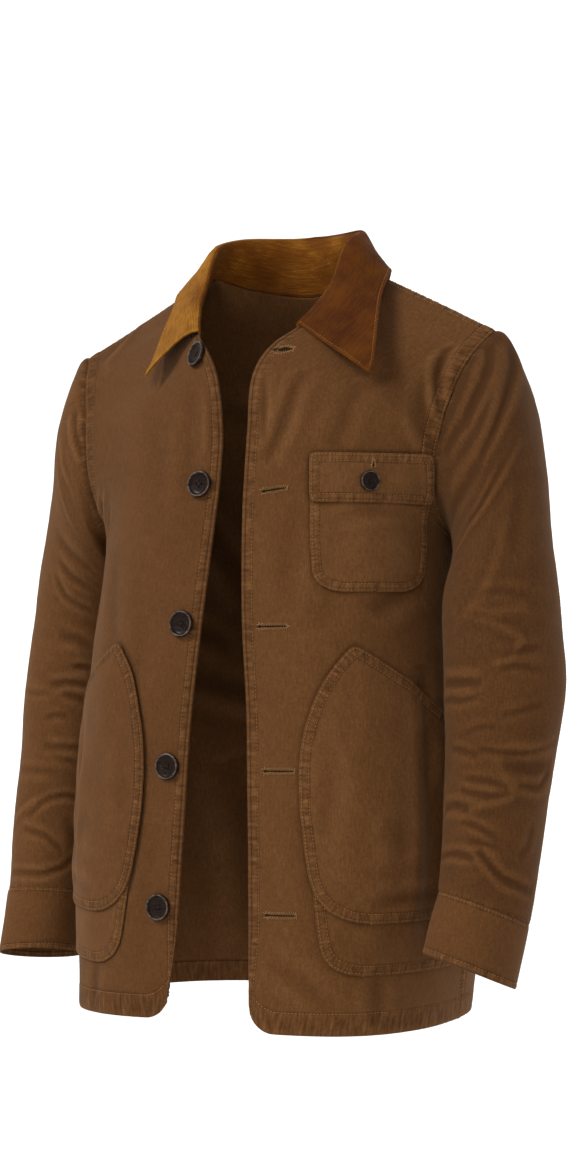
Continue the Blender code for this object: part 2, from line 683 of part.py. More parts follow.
def buildButtons(flapFace):
    chart = frontChart(-1)
    for number, (height, inset) in enumerate(buttonRows, 1):
        place, normal = onFront(chart, inset, height, wall / 2 + layGap)
        button("button_" + str(number), place, normal, buttonRadius)
    place, normal = onFront(frontChart(1), flapButtonAt, flapButtonHeight, flapFace + layGap)
    button("button_pocket", place, normal, smallButtonRadius)


def main():
    clearScene()
    buildBody()
    buildSleeves()
    buildCollar()
    flapFace = buildPockets()
    buildButtons(flapFace)


main()
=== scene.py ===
# A waist-length barn jacket worn open: canvas, a corduroy collar, patch pockets and
# dark buttons. Lengths are in metres; the front faces -Y and the wearer's left is +X.
import bpy
import bmesh
import numpy as np
from math import ceil, cos, pi, radians, sin
from mathutils import Matrix, Vector

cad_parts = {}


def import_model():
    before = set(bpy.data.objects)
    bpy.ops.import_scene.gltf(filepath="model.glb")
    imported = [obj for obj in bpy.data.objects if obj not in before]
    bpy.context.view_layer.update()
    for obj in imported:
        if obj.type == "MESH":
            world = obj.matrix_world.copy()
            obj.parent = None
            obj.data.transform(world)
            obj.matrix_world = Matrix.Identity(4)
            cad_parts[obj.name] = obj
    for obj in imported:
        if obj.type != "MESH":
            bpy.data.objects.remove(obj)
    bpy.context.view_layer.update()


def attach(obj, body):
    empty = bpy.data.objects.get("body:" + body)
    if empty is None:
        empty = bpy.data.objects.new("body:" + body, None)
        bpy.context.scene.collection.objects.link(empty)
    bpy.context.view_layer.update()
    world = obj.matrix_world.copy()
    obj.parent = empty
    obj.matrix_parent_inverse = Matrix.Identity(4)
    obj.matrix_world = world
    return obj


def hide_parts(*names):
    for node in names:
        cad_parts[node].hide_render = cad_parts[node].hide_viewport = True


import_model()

cloth = dict(wall=0.0014, patchWall=0.0012, collarWall=0.0020, panelHalf=0.0010,
             seamGap=0.0003, layGap=0.0007, lapDip=0.0013, lapReach=0.0035,
             rollDepth=0.0009, rollReach=0.0013, edgeTone=0.65, lineShade=0.9,
             lapFade=0.004, armBlend=0.02, shoulderTilt=0.030, tiltFloor=-0.30,
             hemCorner=0.024, hemFade=0.10)


# The cut: the same seams, edges and rings as the solids.
seamColumns = ("level", "x", "y", "z", "lean")
sideSeam = [
    ("hem", 0.184, -0.004, -0.708, 0),
    ("low", 0.194, -0.003, -0.610, 0),
    ("hip", 0.195, 0.000, -0.510, 0),
    ("waist", 0.190, 0.004, -0.410, 0),
    ("rib", 0.183, 0.008, -0.320, 0),
    ("under", 0.178, 0.010, -0.262, 0),
]
armholeFront = [
    ("hollow", 0.176, -0.042, -0.238, 25),
    ("chest", 0.180, -0.062, -0.200, 50),
    ("breast", 0.186, -0.060, -0.162, 62),
    ("throat", 0.193, -0.048, -0.128, 72),
    ("join", 0.201, -0.034, -0.102, 80),
    ("neck", 0.210, -0.014, -0.081, 86),
    ("top", 0.2165, 0.005, -0.070, 90),
]
armholeBack = [
    ("hollow", 0.177, 0.058, -0.238, 25),
    ("chest", 0.184, 0.077, -0.198, 50),
    ("breast", 0.192, 0.074, -0.158, 62),
    ("throat", 0.199, 0.060, -0.124, 72),
    ("join", 0.206, 0.042, -0.099, 80),
    ("neck", 0.212, 0.024, -0.081, 86),
    ("top", 0.2165, 0.005, -0.070, 90),
]
edgeColumns = ("level", "x", "y", "z", "reach", "draw", "turn")
leftEdge = [
    ("hem", 0.043, -0.168, -0.707, 0.115, 0.095, 0),
    ("low", 0.0415, -0.166, -0.608, 0.112, 0.095, 0),
    ("hip", 0.040, -0.164, -0.510, 0.110, 0.093, 0),
    ("waist", 0.037, -0.162, -0.411, 0.108, 0.092, 0),
    ("rib", 0.031, -0.159, -0.315, 0.105, 0.092, 0),
    ("under", 0.0298, -0.1545, -0.245, 0.100, 0.090, 0),
    ("hollow", 0.030, -0.151, -0.205, 0.092, 0.056, 0),
    ("chest", 0.031, -0.146, -0.160, 0.085, 0.048, 0),
    ("breast", 0.031, -0.136, -0.112, 0.078, 0.046, 0),
    ("throat", 0.043, -0.121, -0.083, 0.060, 0.045, 0),
    ("join", 0.060, -0.101, -0.066, 0.045, 0.045, 0),
    ("neck", 0.076, -0.050, -0.036, 0.040, 0.045, 0),
    ("top", 0.080, 0.000, 0.000, 0.045, 0.045, 0),
]
rightEdge = [
    ("hem", 0.028, -0.190, -0.696, 0.118, 0.100, 0),
    ("low", 0.020, -0.186, -0.608, 0.115, 0.100, 0),
    ("hip", 0.0155, -0.181, -0.510, 0.114, 0.098, 0),
    ("waist", 0.0115, -0.174, -0.411, 0.112, 0.095, 0),
    ("rib", 0.0022, -0.166, -0.315, 0.110, 0.092, 0),
    ("under", -0.0035, -0.1585, -0.245, 0.105, 0.090, 0),
    ("hollow", -0.0065, -0.153, -0.205, 0.098, 0.056, 0),
    ("chest", -0.0065, -0.147, -0.160, 0.090, 0.048, 0),
    ("breast", 0.0025, -0.140, -0.112, 0.082, 0.046, 10),
    ("throat", 0.0180, -0.132, -0.083, 0.062, 0.045, 30),
    ("join", 0.0380, -0.107, -0.067, 0.048, 0.045, 25),
    ("neck", 0.066, -0.050, -0.036, 0.042, 0.045, 0),
    ("top", 0.074, 0.000, 0.000, 0.045, 0.045, 0),
]
backLine = [
    ("hem", 0.0, 0.150, -0.712, 0.118, 0.088, 0),
    ("low", 0.0, 0.146, -0.610, 0.116, 0.086, 0),
    ("hip", 0.0, 0.138, -0.510, 0.114, 0.082, 0),
    ("waist", 0.0, 0.124, -0.410, 0.108, 0.076, 0),
    ("rib", 0.0, 0.127, -0.320, 0.104, 0.076, 0),
    ("under", 0.0, 0.133, -0.255, 0.100, 0.078, 0),
    ("hollow", 0.0, 0.136, -0.215, 0.095, 0.050, 0),
    ("chest", 0.0, 0.134, -0.175, 0.090, 0.045, 0),
    ("breast", 0.0, 0.125, -0.135, 0.085, 0.045, 0),
    ("throat", 0.0, 0.109, -0.096, 0.080, 0.045, 0),
    ("join", 0.0, 0.091, -0.060, 0.075, 0.045, 0),
    ("neck", 0.0, 0.077, -0.036, 0.070, 0.045, 0),
    ("top", 0.0, 0.066, -0.018, 0.045, 0.045, 0),
]
backCut = dict(neckShare=0.38, neckReach=0.60, neckDraw=0.55, neckRise=0.004, pleatDepth=0.006,
               pleatAt=0.87, pleatWidth=0.035, pleatFrom=0.45, pleatGrow=0.25,
               pleatTurnFrom=0.85, pleatTurn=0.12, pleatLean=0.3, pleatStop=0.06, pleatStopCurve=0.7,
               neckBlend=0.12, neckLeave=(0.0, -0.4, 0.9), neckTurn=(0.0, 0.6, 0.9), neckSteps=13)
underSlope = 0.10
ringColumns = ("ring", "x", "y", "z", "width", "depth", "tilt", "pitch")
leftRings = [
    ("cap", 0.219, -0.008, -0.200, 0.086, 0.067, 68, 0),
    ("upper", 0.229, -0.024, -0.241, 0.068, 0.064, 54, 4),
    ("bicep", 0.237, -0.043, -0.290, 0.0565, 0.061, 32, 9),
    ("arm", 0.245, -0.056, -0.345, 0.055, 0.059, 13, 10),
    ("elbow", 0.251, -0.066, -0.405, 0.0535, 0.057, 4, 7),
    ("fore", 0.248, -0.074, -0.470, 0.048, 0.052, -2, 9),
    ("low", 0.246, -0.087, -0.535, 0.044, 0.047, -9, 13),
    ("seam", 0.244, -0.101, -0.592, 0.041, 0.0435, -16, 16),
    ("wrist", 0.2375, -0.122, -0.645, 0.042, 0.0435, -17, 16),
]
rightRings = [
    ("cap", 0.211, 0.010, -0.208, 0.084, 0.067, 70, 0),
    ("upper", 0.222, 0.028, -0.248, 0.066, 0.064, 54, -6),
    ("bicep", 0.236, 0.044, -0.295, 0.0565, 0.061, 30, -8),
    ("arm", 0.246, 0.051, -0.350, 0.055, 0.059, 13, -3),
    ("elbow", 0.257, 0.051, -0.415, 0.0535, 0.057, 6, 4),
    ("fore", 0.264, 0.043, -0.485, 0.049, 0.052, 3, 9),
    ("low", 0.268, 0.029, -0.553, 0.0445, 0.048, 1, 12),
    ("seam", 0.270, 0.014, -0.616, 0.041, 0.0435, -3, 13),
    ("wrist", 0.270, -0.003, -0.675, 0.042, 0.0435, -6, 13),
]
sleeveCut = dict(backSeamAt=0.945, underSeamAt=0.5, middle=(0.190, 0.005, -0.165),
                 flare=0.35, pull=0.9, gap=0.0008, foldGap=0.0020, girth=0.34)
collarColumns = ("place", "along", "rise", "lean", "x", "y", "z")
collarRows = [
    ("back", 0.00, 0.060, 0.006, 0.000, 0.103, -0.020),
    ("turn", 0.27, 0.048, -0.005, 0.064, 0.082, -0.016),
    ("side", 0.50, 0.026, -0.008, 0.106, 0.014, -0.005),
    ("fore", 0.76, 0.015, -0.003, 0.110, -0.052, -0.040),
    ("join", 1.00, 0.004, 0.001, 0.115, -0.121, -0.108),
]
collarCut = dict(rimShift=0.0265, rimDrop=0.005, rimFront=0.11, seat=-0.0005, rollOut=0.8,
                 rollRise=0.04, swell=0.7, pull=0.9, dip=0.25, frontDrop=0.6, frontDropFrom=0.72)
upward = np.array((0.0, 0.0, 1.0))
sides = ((1, "left"), (-1, "right"))


def record(columns, rows):
    return [dict(zip(columns, row)) for row in rows]


def point(row):
    return np.array((row["x"], row["y"], row["z"]))


def unit(vectors):
    return vectors / np.maximum(np.linalg.norm(vectors, axis=-1, keepdims=True), 1e-9)


# How far along the line, or along each row, every point is.
def knotsOf(points):
    steps = np.linalg.norm(np.diff(points, axis=0), axis=-1)
    return np.concatenate(([0.0], np.cumsum(steps)))


def runsOf(points):
    steps = np.linalg.norm(np.diff(points, axis=1), axis=-1)
    return np.concatenate((np.zeros((len(points), 1)), np.cumsum(steps, axis=1)), axis=1)


def readAt(places, run, line):
    return np.stack([np.interp(places, run, line[:, axis]) for axis in range(line.shape[1])], axis=-1)


def shares(parts):
    return np.linspace(0, 1, parts + 1)


def bezier(a, b, c, d, u):
    u = u[:, None]
    return a * (1 - u) ** 3 + 3 * b * u * (1 - u) ** 2 + 3 * c * u ** 2 * (1 - u) + d * u ** 3


def hermite(a, b, slopeA, slopeB, s):
    low = a * (1 + 2 * s) + slopeA * s
    high = b * (3 - 2 * s) - slopeB * (1 - s)
    return low * (1 - s) ** 2 + high * s ** 2


# Cubic through the table rows; first and last set the slopes at the two ends.
def blend(knots, values, t, first=None, last=None):
    steps = np.diff(knots)
    shape = (-1,) + (1,) * (values.ndim - 1)
    slopes = np.diff(values, axis=0) / steps.reshape(shape)
    before = steps[:-1].reshape(shape)
    after = steps[1:].reshape(shape)
    inner = (slopes[:-1] * after + slopes[1:] * before) / (before + after)
    start = slopes[:1] if first is None else np.broadcast_to(first, values[:1].shape)
    finish = slopes[-1:] if last is None else np.broadcast_to(last, values[:1].shape)
    tangents = np.concatenate((start, inner, finish))
    index = np.clip(np.searchsorted(knots, t, side="right") - 1, 0, len(steps) - 1)
    size = steps[index].reshape(shape)
    s = ((t - knots[index]) / steps[index]).reshape(shape)
    return hermite(values[index], values[index + 1], tangents[index] * size,
                   tangents[index + 1] * size, s)


def rowCurve(edge, side, facing, u):
    start = point(edge)
    end = point(side)
    drop = (end[2] - start[2]) / 3
    lean = radians(side["lean"])
    turn = radians(edge["turn"])
    leave = np.array((cos(turn) * edge["reach"], -facing * sin(turn) * edge["reach"], drop))
    arrive = np.array((-sin(lean) * edge["draw"], facing * cos(lean) * edge["draw"], -drop))
    return bezier(start, start + leave, end + arrive, end, u)


def shoulderCurve(edges, share):
    top = record(edgeColumns, edges)[-1]
    tip = record(seamColumns, armholeFront)[-1]
    return rowCurve(top, tip, -1, share)


def backTopCurve(edges, u):
    top = record(edgeColumns, backLine)[-1]
    neck = shoulderCurve(edges, np.zeros(1))[0]
    start = point(top)
    split = backCut["neckShare"]
    reach = np.array((backCut["neckReach"] * neck[0], 0.0, backCut["neckRise"]))
    arrive = np.array((0.0, backCut["neckDraw"] * start[1], -backCut["neckRise"]))
    along = bezier(start, start + reach, neck + arrive, neck, np.clip(u / split, 0, 1))
    share = np.clip((u - split) / (1 - split), 0, 1)
    return np.where((u < split)[:, None], along, shoulderCurve(edges, share))


def stance(points, mirror):
    points = points * np.array((mirror, 1.0, 1.0))
    fade = np.clip((points[..., 2] - cloth["tiltFloor"]) / -cloth["tiltFloor"], 0, 1)
    points[..., 2] += cloth["shoulderTilt"] * points[..., 0] * fade
    return points


def sideLine(armhole, facing, places):
    seam = np.array([point(row) for row in record(seamColumns, sideSeam)])
    arm = np.array([point(row) for row in record(seamColumns, sideSeam[-1:] + armhole)])
    seamKnots = knotsOf(seam)
    armKnots = knotsOf(arm) + seamKnots[-1]
    below = blend(seamKnots, seam, np.minimum(places, seamKnots[-1]))
    above = blend(armKnots, arm, np.maximum(places, seamKnots[-1]),
                  first=np.array((0.0, facing, underSlope)), last=np.array((0.0, -facing, 0.0)))
    return np.where((places < seamKnots[-1])[:, None], below, above)


def sideKnots(armhole):
    return knotsOf(np.array([point(row) for row in record(seamColumns, sideSeam + armhole)]))


def panel(curves, armhole, facing, share, cross, u):
    knots = sideKnots(armhole)
    places = share * knots[-1]
    reach = np.linalg.norm(curves[-1] - curves[-2], axis=-1, keepdims=True)
    last = cross * reach / (knots[-1] - knots[-2])
    points = blend(knots, curves, places, last=last[None])
    side = sideLine(armhole, facing, places)
    edge = blend(knots, np.array([curve[-1:] for curve in curves]), places, last=last[None, -1:])
    return points + (side[:, None] - edge) * (u ** 3)[None, :, None]


def frontShape(edges, u, share):
    inner = record(edgeColumns, edges)
    outer = record(seamColumns, sideSeam + armholeFront)
    curves = np.array([rowCurve(a, b, -1, u) for a, b in zip(inner, outer)])
    points = panel(curves, armholeFront, -1, share, np.array((0.0, 1.0, 0.0)), u)
    across = np.linalg.norm(points - points[:, :1], axis=-1)
    near = np.clip(1 - across / cloth["hemCorner"], 0, 1)
    lift = cloth["hemCorner"] * (1 - np.sqrt(1 - near ** 2))
    low = np.clip(1 - (points[..., 2] - curves[0, :, 2]) / cloth["hemFade"], 0, 1)
    points[..., 2] += lift * low
    return points


def edgesOf(mirror):
    return leftEdge if mirror > 0 else rightEdge


def backPoints(mirror, u, share):
    inner = record(edgeColumns, backLine)
    outer = record(seamColumns, sideSeam + armholeBack)
    curves = [rowCurve(a, b, 1, u) for a, b in zip(inner[:-1], outer[:-1])]
    curves = np.array(curves + [backTopCurve(edgesOf(mirror), u)])
    turned = np.clip((u - backCut["neckShare"]) / backCut["neckBlend"] + 0.5, 0, 1)[:, None]
    cross = np.array(backCut["neckLeave"]) - turned * backCut["neckTurn"]
    points = panel(curves, armholeBack, 1, share, cross, u)
    fold = np.exp(-((u - backCut["pleatAt"]) / backCut["pleatWidth"]) ** 4)[None] * backCut["pleatDepth"]
    deep = np.clip((share - backCut["pleatFrom"]) / backCut["pleatGrow"], 0, 1)[:, None]
    deep = deep * np.clip((1 - share) / backCut["pleatStop"], 0, 1)[:, None] ** backCut["pleatStopCurve"]
    slope = pi / 2 * np.clip((share - backCut["pleatTurnFrom"]) / backCut["pleatTurn"], 0, 1)[:, None]
    points[..., 1] -= fold * deep * (np.cos(slope) - backCut["pleatLean"] * np.sin(slope))
    points[..., 2] -= fold * deep * np.sin(slope)
    return stance(points, mirror)


def ringPoints(ring, mirror, turn):
    tilt = radians(ring["tilt"])
    pitch = radians(ring["pitch"])
    outward = np.array((cos(tilt), 0.0, sin(tilt))) * ring["width"]
    forward = np.array((0.0, -cos(pitch), sin(pitch))) * ring["depth"]
    angle = (2 * pi * turn)[:, None]
    points = point(ring) + outward * np.cos(angle) + forward * np.sin(angle)
    return points * np.array((mirror, 1.0, 1.0))


def armholeLoop(mirror, turn):
    turn = turn % 1.0
    halves = []
    for armhole, facing, rise in ((armholeFront, -1, 1 - 2 * turn), (armholeBack, 1, 2 * turn - 1)):
        knots = sideKnots(armhole)
        under = knots[len(sideSeam) - 1]
        halves.append(sideLine(armhole, facing, under + (knots[-1] - under) * np.clip(rise, 0, 1)))
    return stance(np.where((turn < 0.5)[:, None], halves[0], halves[1]), mirror)


def sleeveKnots(rings):
    table = record(ringColumns, rings[:-1])
    return knotsOf(np.array([sleeveCut["middle"]] + [point(ring) for ring in table]))


def sleevePoints(mirror, turn, along, rings):
    loop = armholeLoop(mirror, turn)
    spread = loop - armholeLoop(mirror, shares(36)[:-1]).mean(axis=0)
    leave = unit(np.array((mirror, 0.0, 0.0)) + sleeveCut["flare"] * unit(spread))
    bend = 0.5 - 0.5 * np.cos(2 * pi * turn)[:, None]
    loop = loop + leave * (sleeveCut["gap"] + sleeveCut["foldGap"] * bend)
    table = record(ringColumns, rings[:-1])
    curves = np.array([loop] + [ringPoints(ring, mirror, turn) for ring in table])
    return blend(sleeveKnots(rings), curves, along, first=leave[None] * sleeveCut["pull"])


def neckline(mirror, along):
    edges = edgesOf(mirror)
    steps = backCut["neckSteps"]
    behind = backTopCurve(edges, np.linspace(0, backCut["neckShare"], steps))
    knots = sideKnots(armholeFront)
    ahead = frontShape(edges, shares(1), np.linspace(1, knots[-3] / knots[-1], steps))[:, 0]
    line = np.concatenate((behind, ahead[1:]))
    lengths = knotsOf(line)
    return readAt(along * lengths[-1], lengths, line)


# The left leaf's front edge lies down on the panel; the right one stands over it.
def leafFront(mirror, along):
    start = collarCut["frontDropFrom"]
    return np.clip((along - start) / (1 - start), 0, 1) * (mirror > 0)


def collarLines(mirror, along):
    table = record(collarColumns, collarRows)
    knots = np.array([row["along"] for row in table])
    rise, lean = blend(knots, np.array([[row["rise"], row["lean"]] for row in table]), along).T
    rim = blend(knots, np.array([point(row) for row in table]), along)
    ahead = np.clip(-rim[:, 1] / collarCut["rimFront"], 0, 1)
    rim[:, 0] += mirror * collarCut["rimShift"] * ahead
    rim[:, 2] -= mirror * collarCut["rimDrop"] * ahead
    neck = neckline(mirror, along)
    away = rim - neck
    away[:, 2] = 0
    away = unit(away)
    roll = neck + away * lean[:, None] + upward * rise[:, None]
    steep = np.clip(rise / collarCut["rollRise"], 0.1, collarCut["rollOut"])
    steep = steep - collarCut["frontDrop"] * leafFront(mirror, along)
    turned = unit(away * collarCut["rollOut"] + upward * steep[:, None])
    lines = stance(np.array((neck, roll, rim)), mirror)
    return lines[0], lines[1], lines[2], turned * np.array((mirror, 1.0, 1.0))


def standPoints(mirror, along, share):
    neck, roll, _, turned = collarLines(mirror, along)
    low = neck + upward * (cloth["panelHalf"] + cloth["seamGap"] + collarCut["seat"])
    height = np.linalg.norm(roll - low, axis=-1, keepdims=True)
    return hermite(low, roll, upward * height, turned * height, share[:, None, None])


def fallPoints(mirror, along, share):
    _, roll, rim, turned = collarLines(mirror, along)
    width = np.linalg.norm(rim - roll, axis=-1, keepdims=True)
    dip = collarCut["dip"] * (1 - leafFront(mirror, along))[:, None]
    arrive = (rim - roll) * collarCut["pull"] - upward * dip * width
    return hermite(roll, rim, turned * width * collarCut["swell"], arrive, share[:, None, None])


ladderLook = dict(fine=0.0016, past=0.003, least=0.00045, beside=(-0.0012, -0.0005, 0.0, 0.0005, 0.0012))


# Distances from 0 to length: close together near seams and stitches, wider between.
def ladder(length, step, low=(), high=()):
    def near(marks):
        if not marks:
            return [0.0]
        even = np.arange(0, max(marks) + ladderLook["past"], ladderLook["fine"])
        close = [mark + off for mark in marks for off in ladderLook["beside"]]
        keep = [0.0]
        for place in np.sort(np.concatenate((even, close)).clip(0)):
            if place - keep[-1] > ladderLook["least"]:
                keep.append(place)
        return keep

    first = near(low)
    last = near(high)
    count = max(ceil((length - first[-1] - last[-1]) / step), 1)
    middle = np.linspace(first[-1], length - last[-1], count + 1)
    return np.concatenate((first[:-1], middle, length - np.array(last[:-1])[::-1])), len(first), len(last)


# The same ladder on a row of another length: its ends keep their distances.
def refit(places, counts, length, to):
    low = places[counts[0] - 1]
    high = length - places[-counts[1]]
    middle = low + (places - low) * (to - low - high) / (length - low - high)
    fitted = np.where(places <= low, places, middle)
    return np.where(places >= length - high, places + to - length, fitted)


# Rows of points read again at the given distances along each row.
def alongRows(dense, places, counts, length):
    runs = [knotsOf(line) for line in dense]
    across = [refit(places, counts, length, run[-1]) for run in runs]
    return np.array([readAt(at, run, line) for at, run, line in zip(across, runs, dense)]), np.array(across)


def normalsOf(points, sign, closed=False):
    if closed:
        around = np.concatenate((points[:, -2:-1], points, points[:, 1:2]), axis=1)
        return normalsOf(around, sign)[:, 1:-1]
    return unit(np.cross(np.gradient(points, axis=1), np.gradient(points, axis=0)) * sign)


def smoothStep(x):
    x = np.clip(x, 0, 1)
    return x * x * (3 - 2 * x)


def bell(x, width):
    return np.exp(-(x / width) ** 2)


# Slow uneven swells, as in cloth that has been washed and worn.
def swell(x, y, wave, seed, count=9):
    draw = np.random.default_rng(seed)
    total = np.zeros(np.broadcast(x, y).shape)
    for turn, size, phase in zip(draw.uniform(0, pi, count), draw.uniform(0.6, 1.7, count),
                                 draw.uniform(0, 2 * pi, count)):
        total += np.sin((x * cos(turn) + y * sin(turn)) * 2 * pi / (wave * size) + phase)
    return total / np.sqrt(count)


# A slow swell and a finer ripple, each as (height, length), added to a relief.
def wavy(relief, x, y, look, seed, step=1):
    for key, turn in (("swell", 0), ("ripple", step)):
        height, wave = look[key]
        relief = relief + height * swell(x, y, wave, seed + turn)
    return relief


# Folds: from one place to another with a bow sideways. A positive depth is a
# trough between two soft shoulders, a negative one a ridge.
foldColumns = ("x0", "y0", "x1", "y1", "bow", "width", "depth")
foldLook = dict(steps=33, creaseSteps=41, rounding=5, reach=4, fade=0.6, shoulder=0.35, shoulderAt=1.9,
                shoulderWidth=0.9)


def folds(x, y, rows, scale=1.0):
    total = np.zeros(x.shape)
    for fold in record(foldColumns, rows):
        start = np.array((fold["x0"] * scale, fold["y0"]))
        run = np.array((fold["x1"] * scale, fold["y1"])) - start
        sideways = np.array((-run[1], run[0])) / np.linalg.norm(run)
        t = np.linspace(0, 1, foldLook["steps"])[:, None]
        path = start + run * t + sideways * fold["bow"] * 4 * t * (1 - t)
        total -= pressed(x, y, path, fold["width"], fold["depth"])
    return total


# Folds through several spots: width, depth, then the two places of each spot.
def creases(x, y, rows, scale=1.0):
    total = np.zeros(x.shape)
    for width, depth, *spots in rows:
        spots = np.array(spots).reshape(-1, 2) * (scale, 1)
        path = readAt(np.linspace(0, len(spots) - 1, foldLook["creaseSteps"]), np.arange(len(spots)), spots)
        for _ in range(foldLook["rounding"]):
            path[1:-1] = (path[:-2] + 2 * path[1:-1] + path[2:]) / 4
        total -= pressed(x, y, path, width, depth)
    return total


def pressed(x, y, path, width, depth):
    shape = np.zeros(x.shape)
    reach = foldLook["reach"] * width
    low = path.min(axis=0) - reach
    high = path.max(axis=0) + reach
    inside = (x > low[0]) & (x < high[0]) & (y > low[1]) & (y < high[1])
    if not inside.any():
        return shape
    gaps = np.hypot(x[inside, None] - path[:, 0], y[inside, None] - path[:, 1])
    nearest = gaps.argmin(axis=1)
    gap = gaps[np.arange(len(gaps)), nearest] / width
    fade = np.clip(1 - (2 * nearest / (len(path) - 1) - 1) ** 2, 0, 1) ** foldLook["fade"]
    shape[inside] = np.exp(-gap ** 2)
    if depth > 0:
        shoulders = np.exp(-((gap - foldLook["shoulderAt"]) / foldLook["shoulderWidth"]) ** 2)
        shape[inside] -= foldLook["shoulder"] * shoulders
    shape[inside] *= depth * fade
    return shape


borderLook = dict(past=0.0015, step=0.0025, ditchWidth=0.0007, calmWave=0.05, driftWave=0.03, drift=1.3,
                  steady=0.6, uneven=0.4, puckerPast=0.004, puckerFade=0.005, slant=260, bandPast=0.003,
                  bandFade=0.004)


# A sewn border: raised cloth up to the last row of stitches, a ditch under each row
# and puckers between, stronger in some stretches than in others.
def border(distance, along, stitches, seed, lift=0.0005, ditch=0.00060, pucker=0.00028, wave=0.0080):
    look = borderLook
    reach = max(stitches)
    relief = lift * smoothStep((reach + look["past"] - distance) / look["step"])
    for stitch in stitches:
        relief = relief - ditch * bell(distance - stitch, look["ditchWidth"])
    uneven = look["steady"] + look["uneven"] * swell(along, along * 0, look["calmWave"], seed, 5)
    drift = look["drift"] * swell(along, distance * 0, look["driftWave"], seed + 1, 5)
    phase = 2 * pi * along / wave + drift
    inside = smoothStep((reach + look["puckerPast"] - distance) / look["puckerFade"])
    rolled = cloth["rollDepth"] * bell(np.maximum(distance, 0), cloth["rollReach"])
    return relief - rolled + pucker * uneven * np.sin(phase + distance * look["slant"]) * inside


toneLook = dict(reach=3, bump=0.0007, edgeFrom=0.0006, edgeWidth=0.0009, rowFrom=0.0007, rowWidth=0.0009)


# The relief less its own blurred copy: bumps are paler, partly wear and partly a painted sheen, and hollows
# darker as painted shade.
def toneOf(relief):
    reach = toneLook["reach"]
    soft = relief.copy()
    for axis in (0, 1):
        wide = np.pad(soft, [(reach, reach) if k == axis else (0, 0) for k in (0, 1)], mode="edge")
        soft = sum(np.take(wide, np.arange(soft.shape[axis]) + k, axis=axis)
                   for k in range(2 * reach + 1)) / (2 * reach + 1)
    return np.clip((relief - soft) / toneLook["bump"], -1, 1)


# Edges are paler in a narrow line, partly rubbed wear and partly a painted highlight,
# and rows of stitches sit in a dark line of painted shade.
def wornEdge(distance, rows=()):
    look = toneLook
    worn = cloth["edgeTone"] * bell(np.maximum(distance - look["edgeFrom"], 0), look["edgeWidth"])
    return worn - sum(cloth["lineShade"] * bell(distance - row - look["rowFrom"], look["rowWidth"])
                      for row in rows)


# Two more columns past the first or last one, straight on.
def grow(points, side, reach):
    edge, inner = (points[:, -1], points[:, -2]) if side == "last" else (points[:, 0], points[:, 1])
    away = unit(edge - inner)
    near, far = ((edge + away * reach * share)[:, None] for share in (0.5, 1.0))
    return np.concatenate((points, near, far) if side == "last" else (far, near, points), axis=1)


def toMesh(work, name):
    mesh = bpy.data.meshes.new(name)
    work.to_mesh(mesh)
    work.free()
    return mesh


# A profile of (distance from the axis, height) turned all the way round.
def spun(name, line, steps, close):
    work = bmesh.new()
    corners = [work.verts.new((x, 0, z)) for x, z in line]
    edges = [work.edges.new(pair) for pair in zip(corners[:-1], corners[1:])]
    bmesh.ops.spin(work, geom=corners + edges, cent=(0, 0, 0), axis=(0, 0, 1), angle=2 * pi,
                   steps=steps, use_merge=True)
    bmesh.ops.remove_doubles(work, verts=work.verts, dist=close)
    bmesh.ops.recalc_face_normals(work, faces=work.faces)
    return toMesh(work, name)


def placed(name, data):
    item = bpy.data.objects.new(name, data)
    bpy.context.scene.collection.objects.link(item)
    return item


def finished(name, mesh, material):
    mesh.shade_smooth()
    mesh.materials.append(material)
    item = placed(name, mesh)
    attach(item, "root")
    return item


# create_grid laid on rows of points, and the row and column of each of its corners.
def gridMesh(name, points):
    rows, columns = points.shape[:2]
    work = bmesh.new()
    bmesh.ops.create_grid(work, x_segments=columns - 1, y_segments=rows - 1, size=1.0)
    mesh = toMesh(work, name)
    flat = np.empty(len(mesh.vertices) * 3)
    mesh.vertices.foreach_get("co", flat)
    flat = flat.reshape(-1, 3)
    column = np.rint((flat[:, 0] + 1) / 2 * (columns - 1)).astype(int)
    row = np.rint((flat[:, 1] + 1) / 2 * (rows - 1)).astype(int)
    mesh.vertices.foreach_set("co", points[row, column].ravel())
    return mesh, row, column


# One cloth piece, with the cloth's own coordinates as its UV map, the nearest seam as
# (along, away, strength) and the tone: wear together with painted light and shade.
def clothPiece(node, points, uv, seam, tone, thickness, material, slot="canvas", closed=False):
    mesh, row, column = gridMesh(node + "_cloth", points)
    corner = np.empty(len(mesh.loops), dtype=np.int32)
    mesh.loops.foreach_get("vertex_index", corner)
    mesh.uv_layers.new(name="Cloth").data.foreach_set("uv", uv[row, column][corner].ravel())
    for name, kind, key, values in (("seam", "FLOAT_VECTOR", "vector", seam),
                                    ("tone", "FLOAT", "value", tone)):
        mesh.attributes.new(name, kind, "POINT").data.foreach_set(key, values[row, column].ravel())
    if closed:
        work = bmesh.new()
        work.from_mesh(mesh)
        bmesh.ops.remove_doubles(work, verts=work.verts, dist=0.00002)
        work.to_mesh(mesh)
        work.free()
    mesh.update()
    item = finished(node + "_cloth", mesh, material)
    thicken = item.modifiers.new("Thickness", "SOLIDIFY")
    thicken.thickness = thickness
    thicken.offset = 0.0
    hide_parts(node)
    return item


# The strongest of several sewn bands at each point, as (along, away, strength). Each
# band reaches as far as the last of its rows.
def seamField(shape, *sewing):
    field = np.zeros(shape + (3,))
    for along, away, rows in sewing:
        strength = smoothStep((max(rows) + borderLook["bandPast"] - away) / borderLook["bandFade"])
        use = strength > field[..., 2]
        field[use] = np.stack(np.broadcast_arrays(along, away, strength), axis=-1)[use]
    return field


# Sewing thread. A stitch is three knots: in the cloth, then twice on top of it.
thread = dict(pitch=0.0033, radius=0.00030, sides=4, rise=0.00022, sink=0.0006, knots=(0.0, 0.3, 0.7))


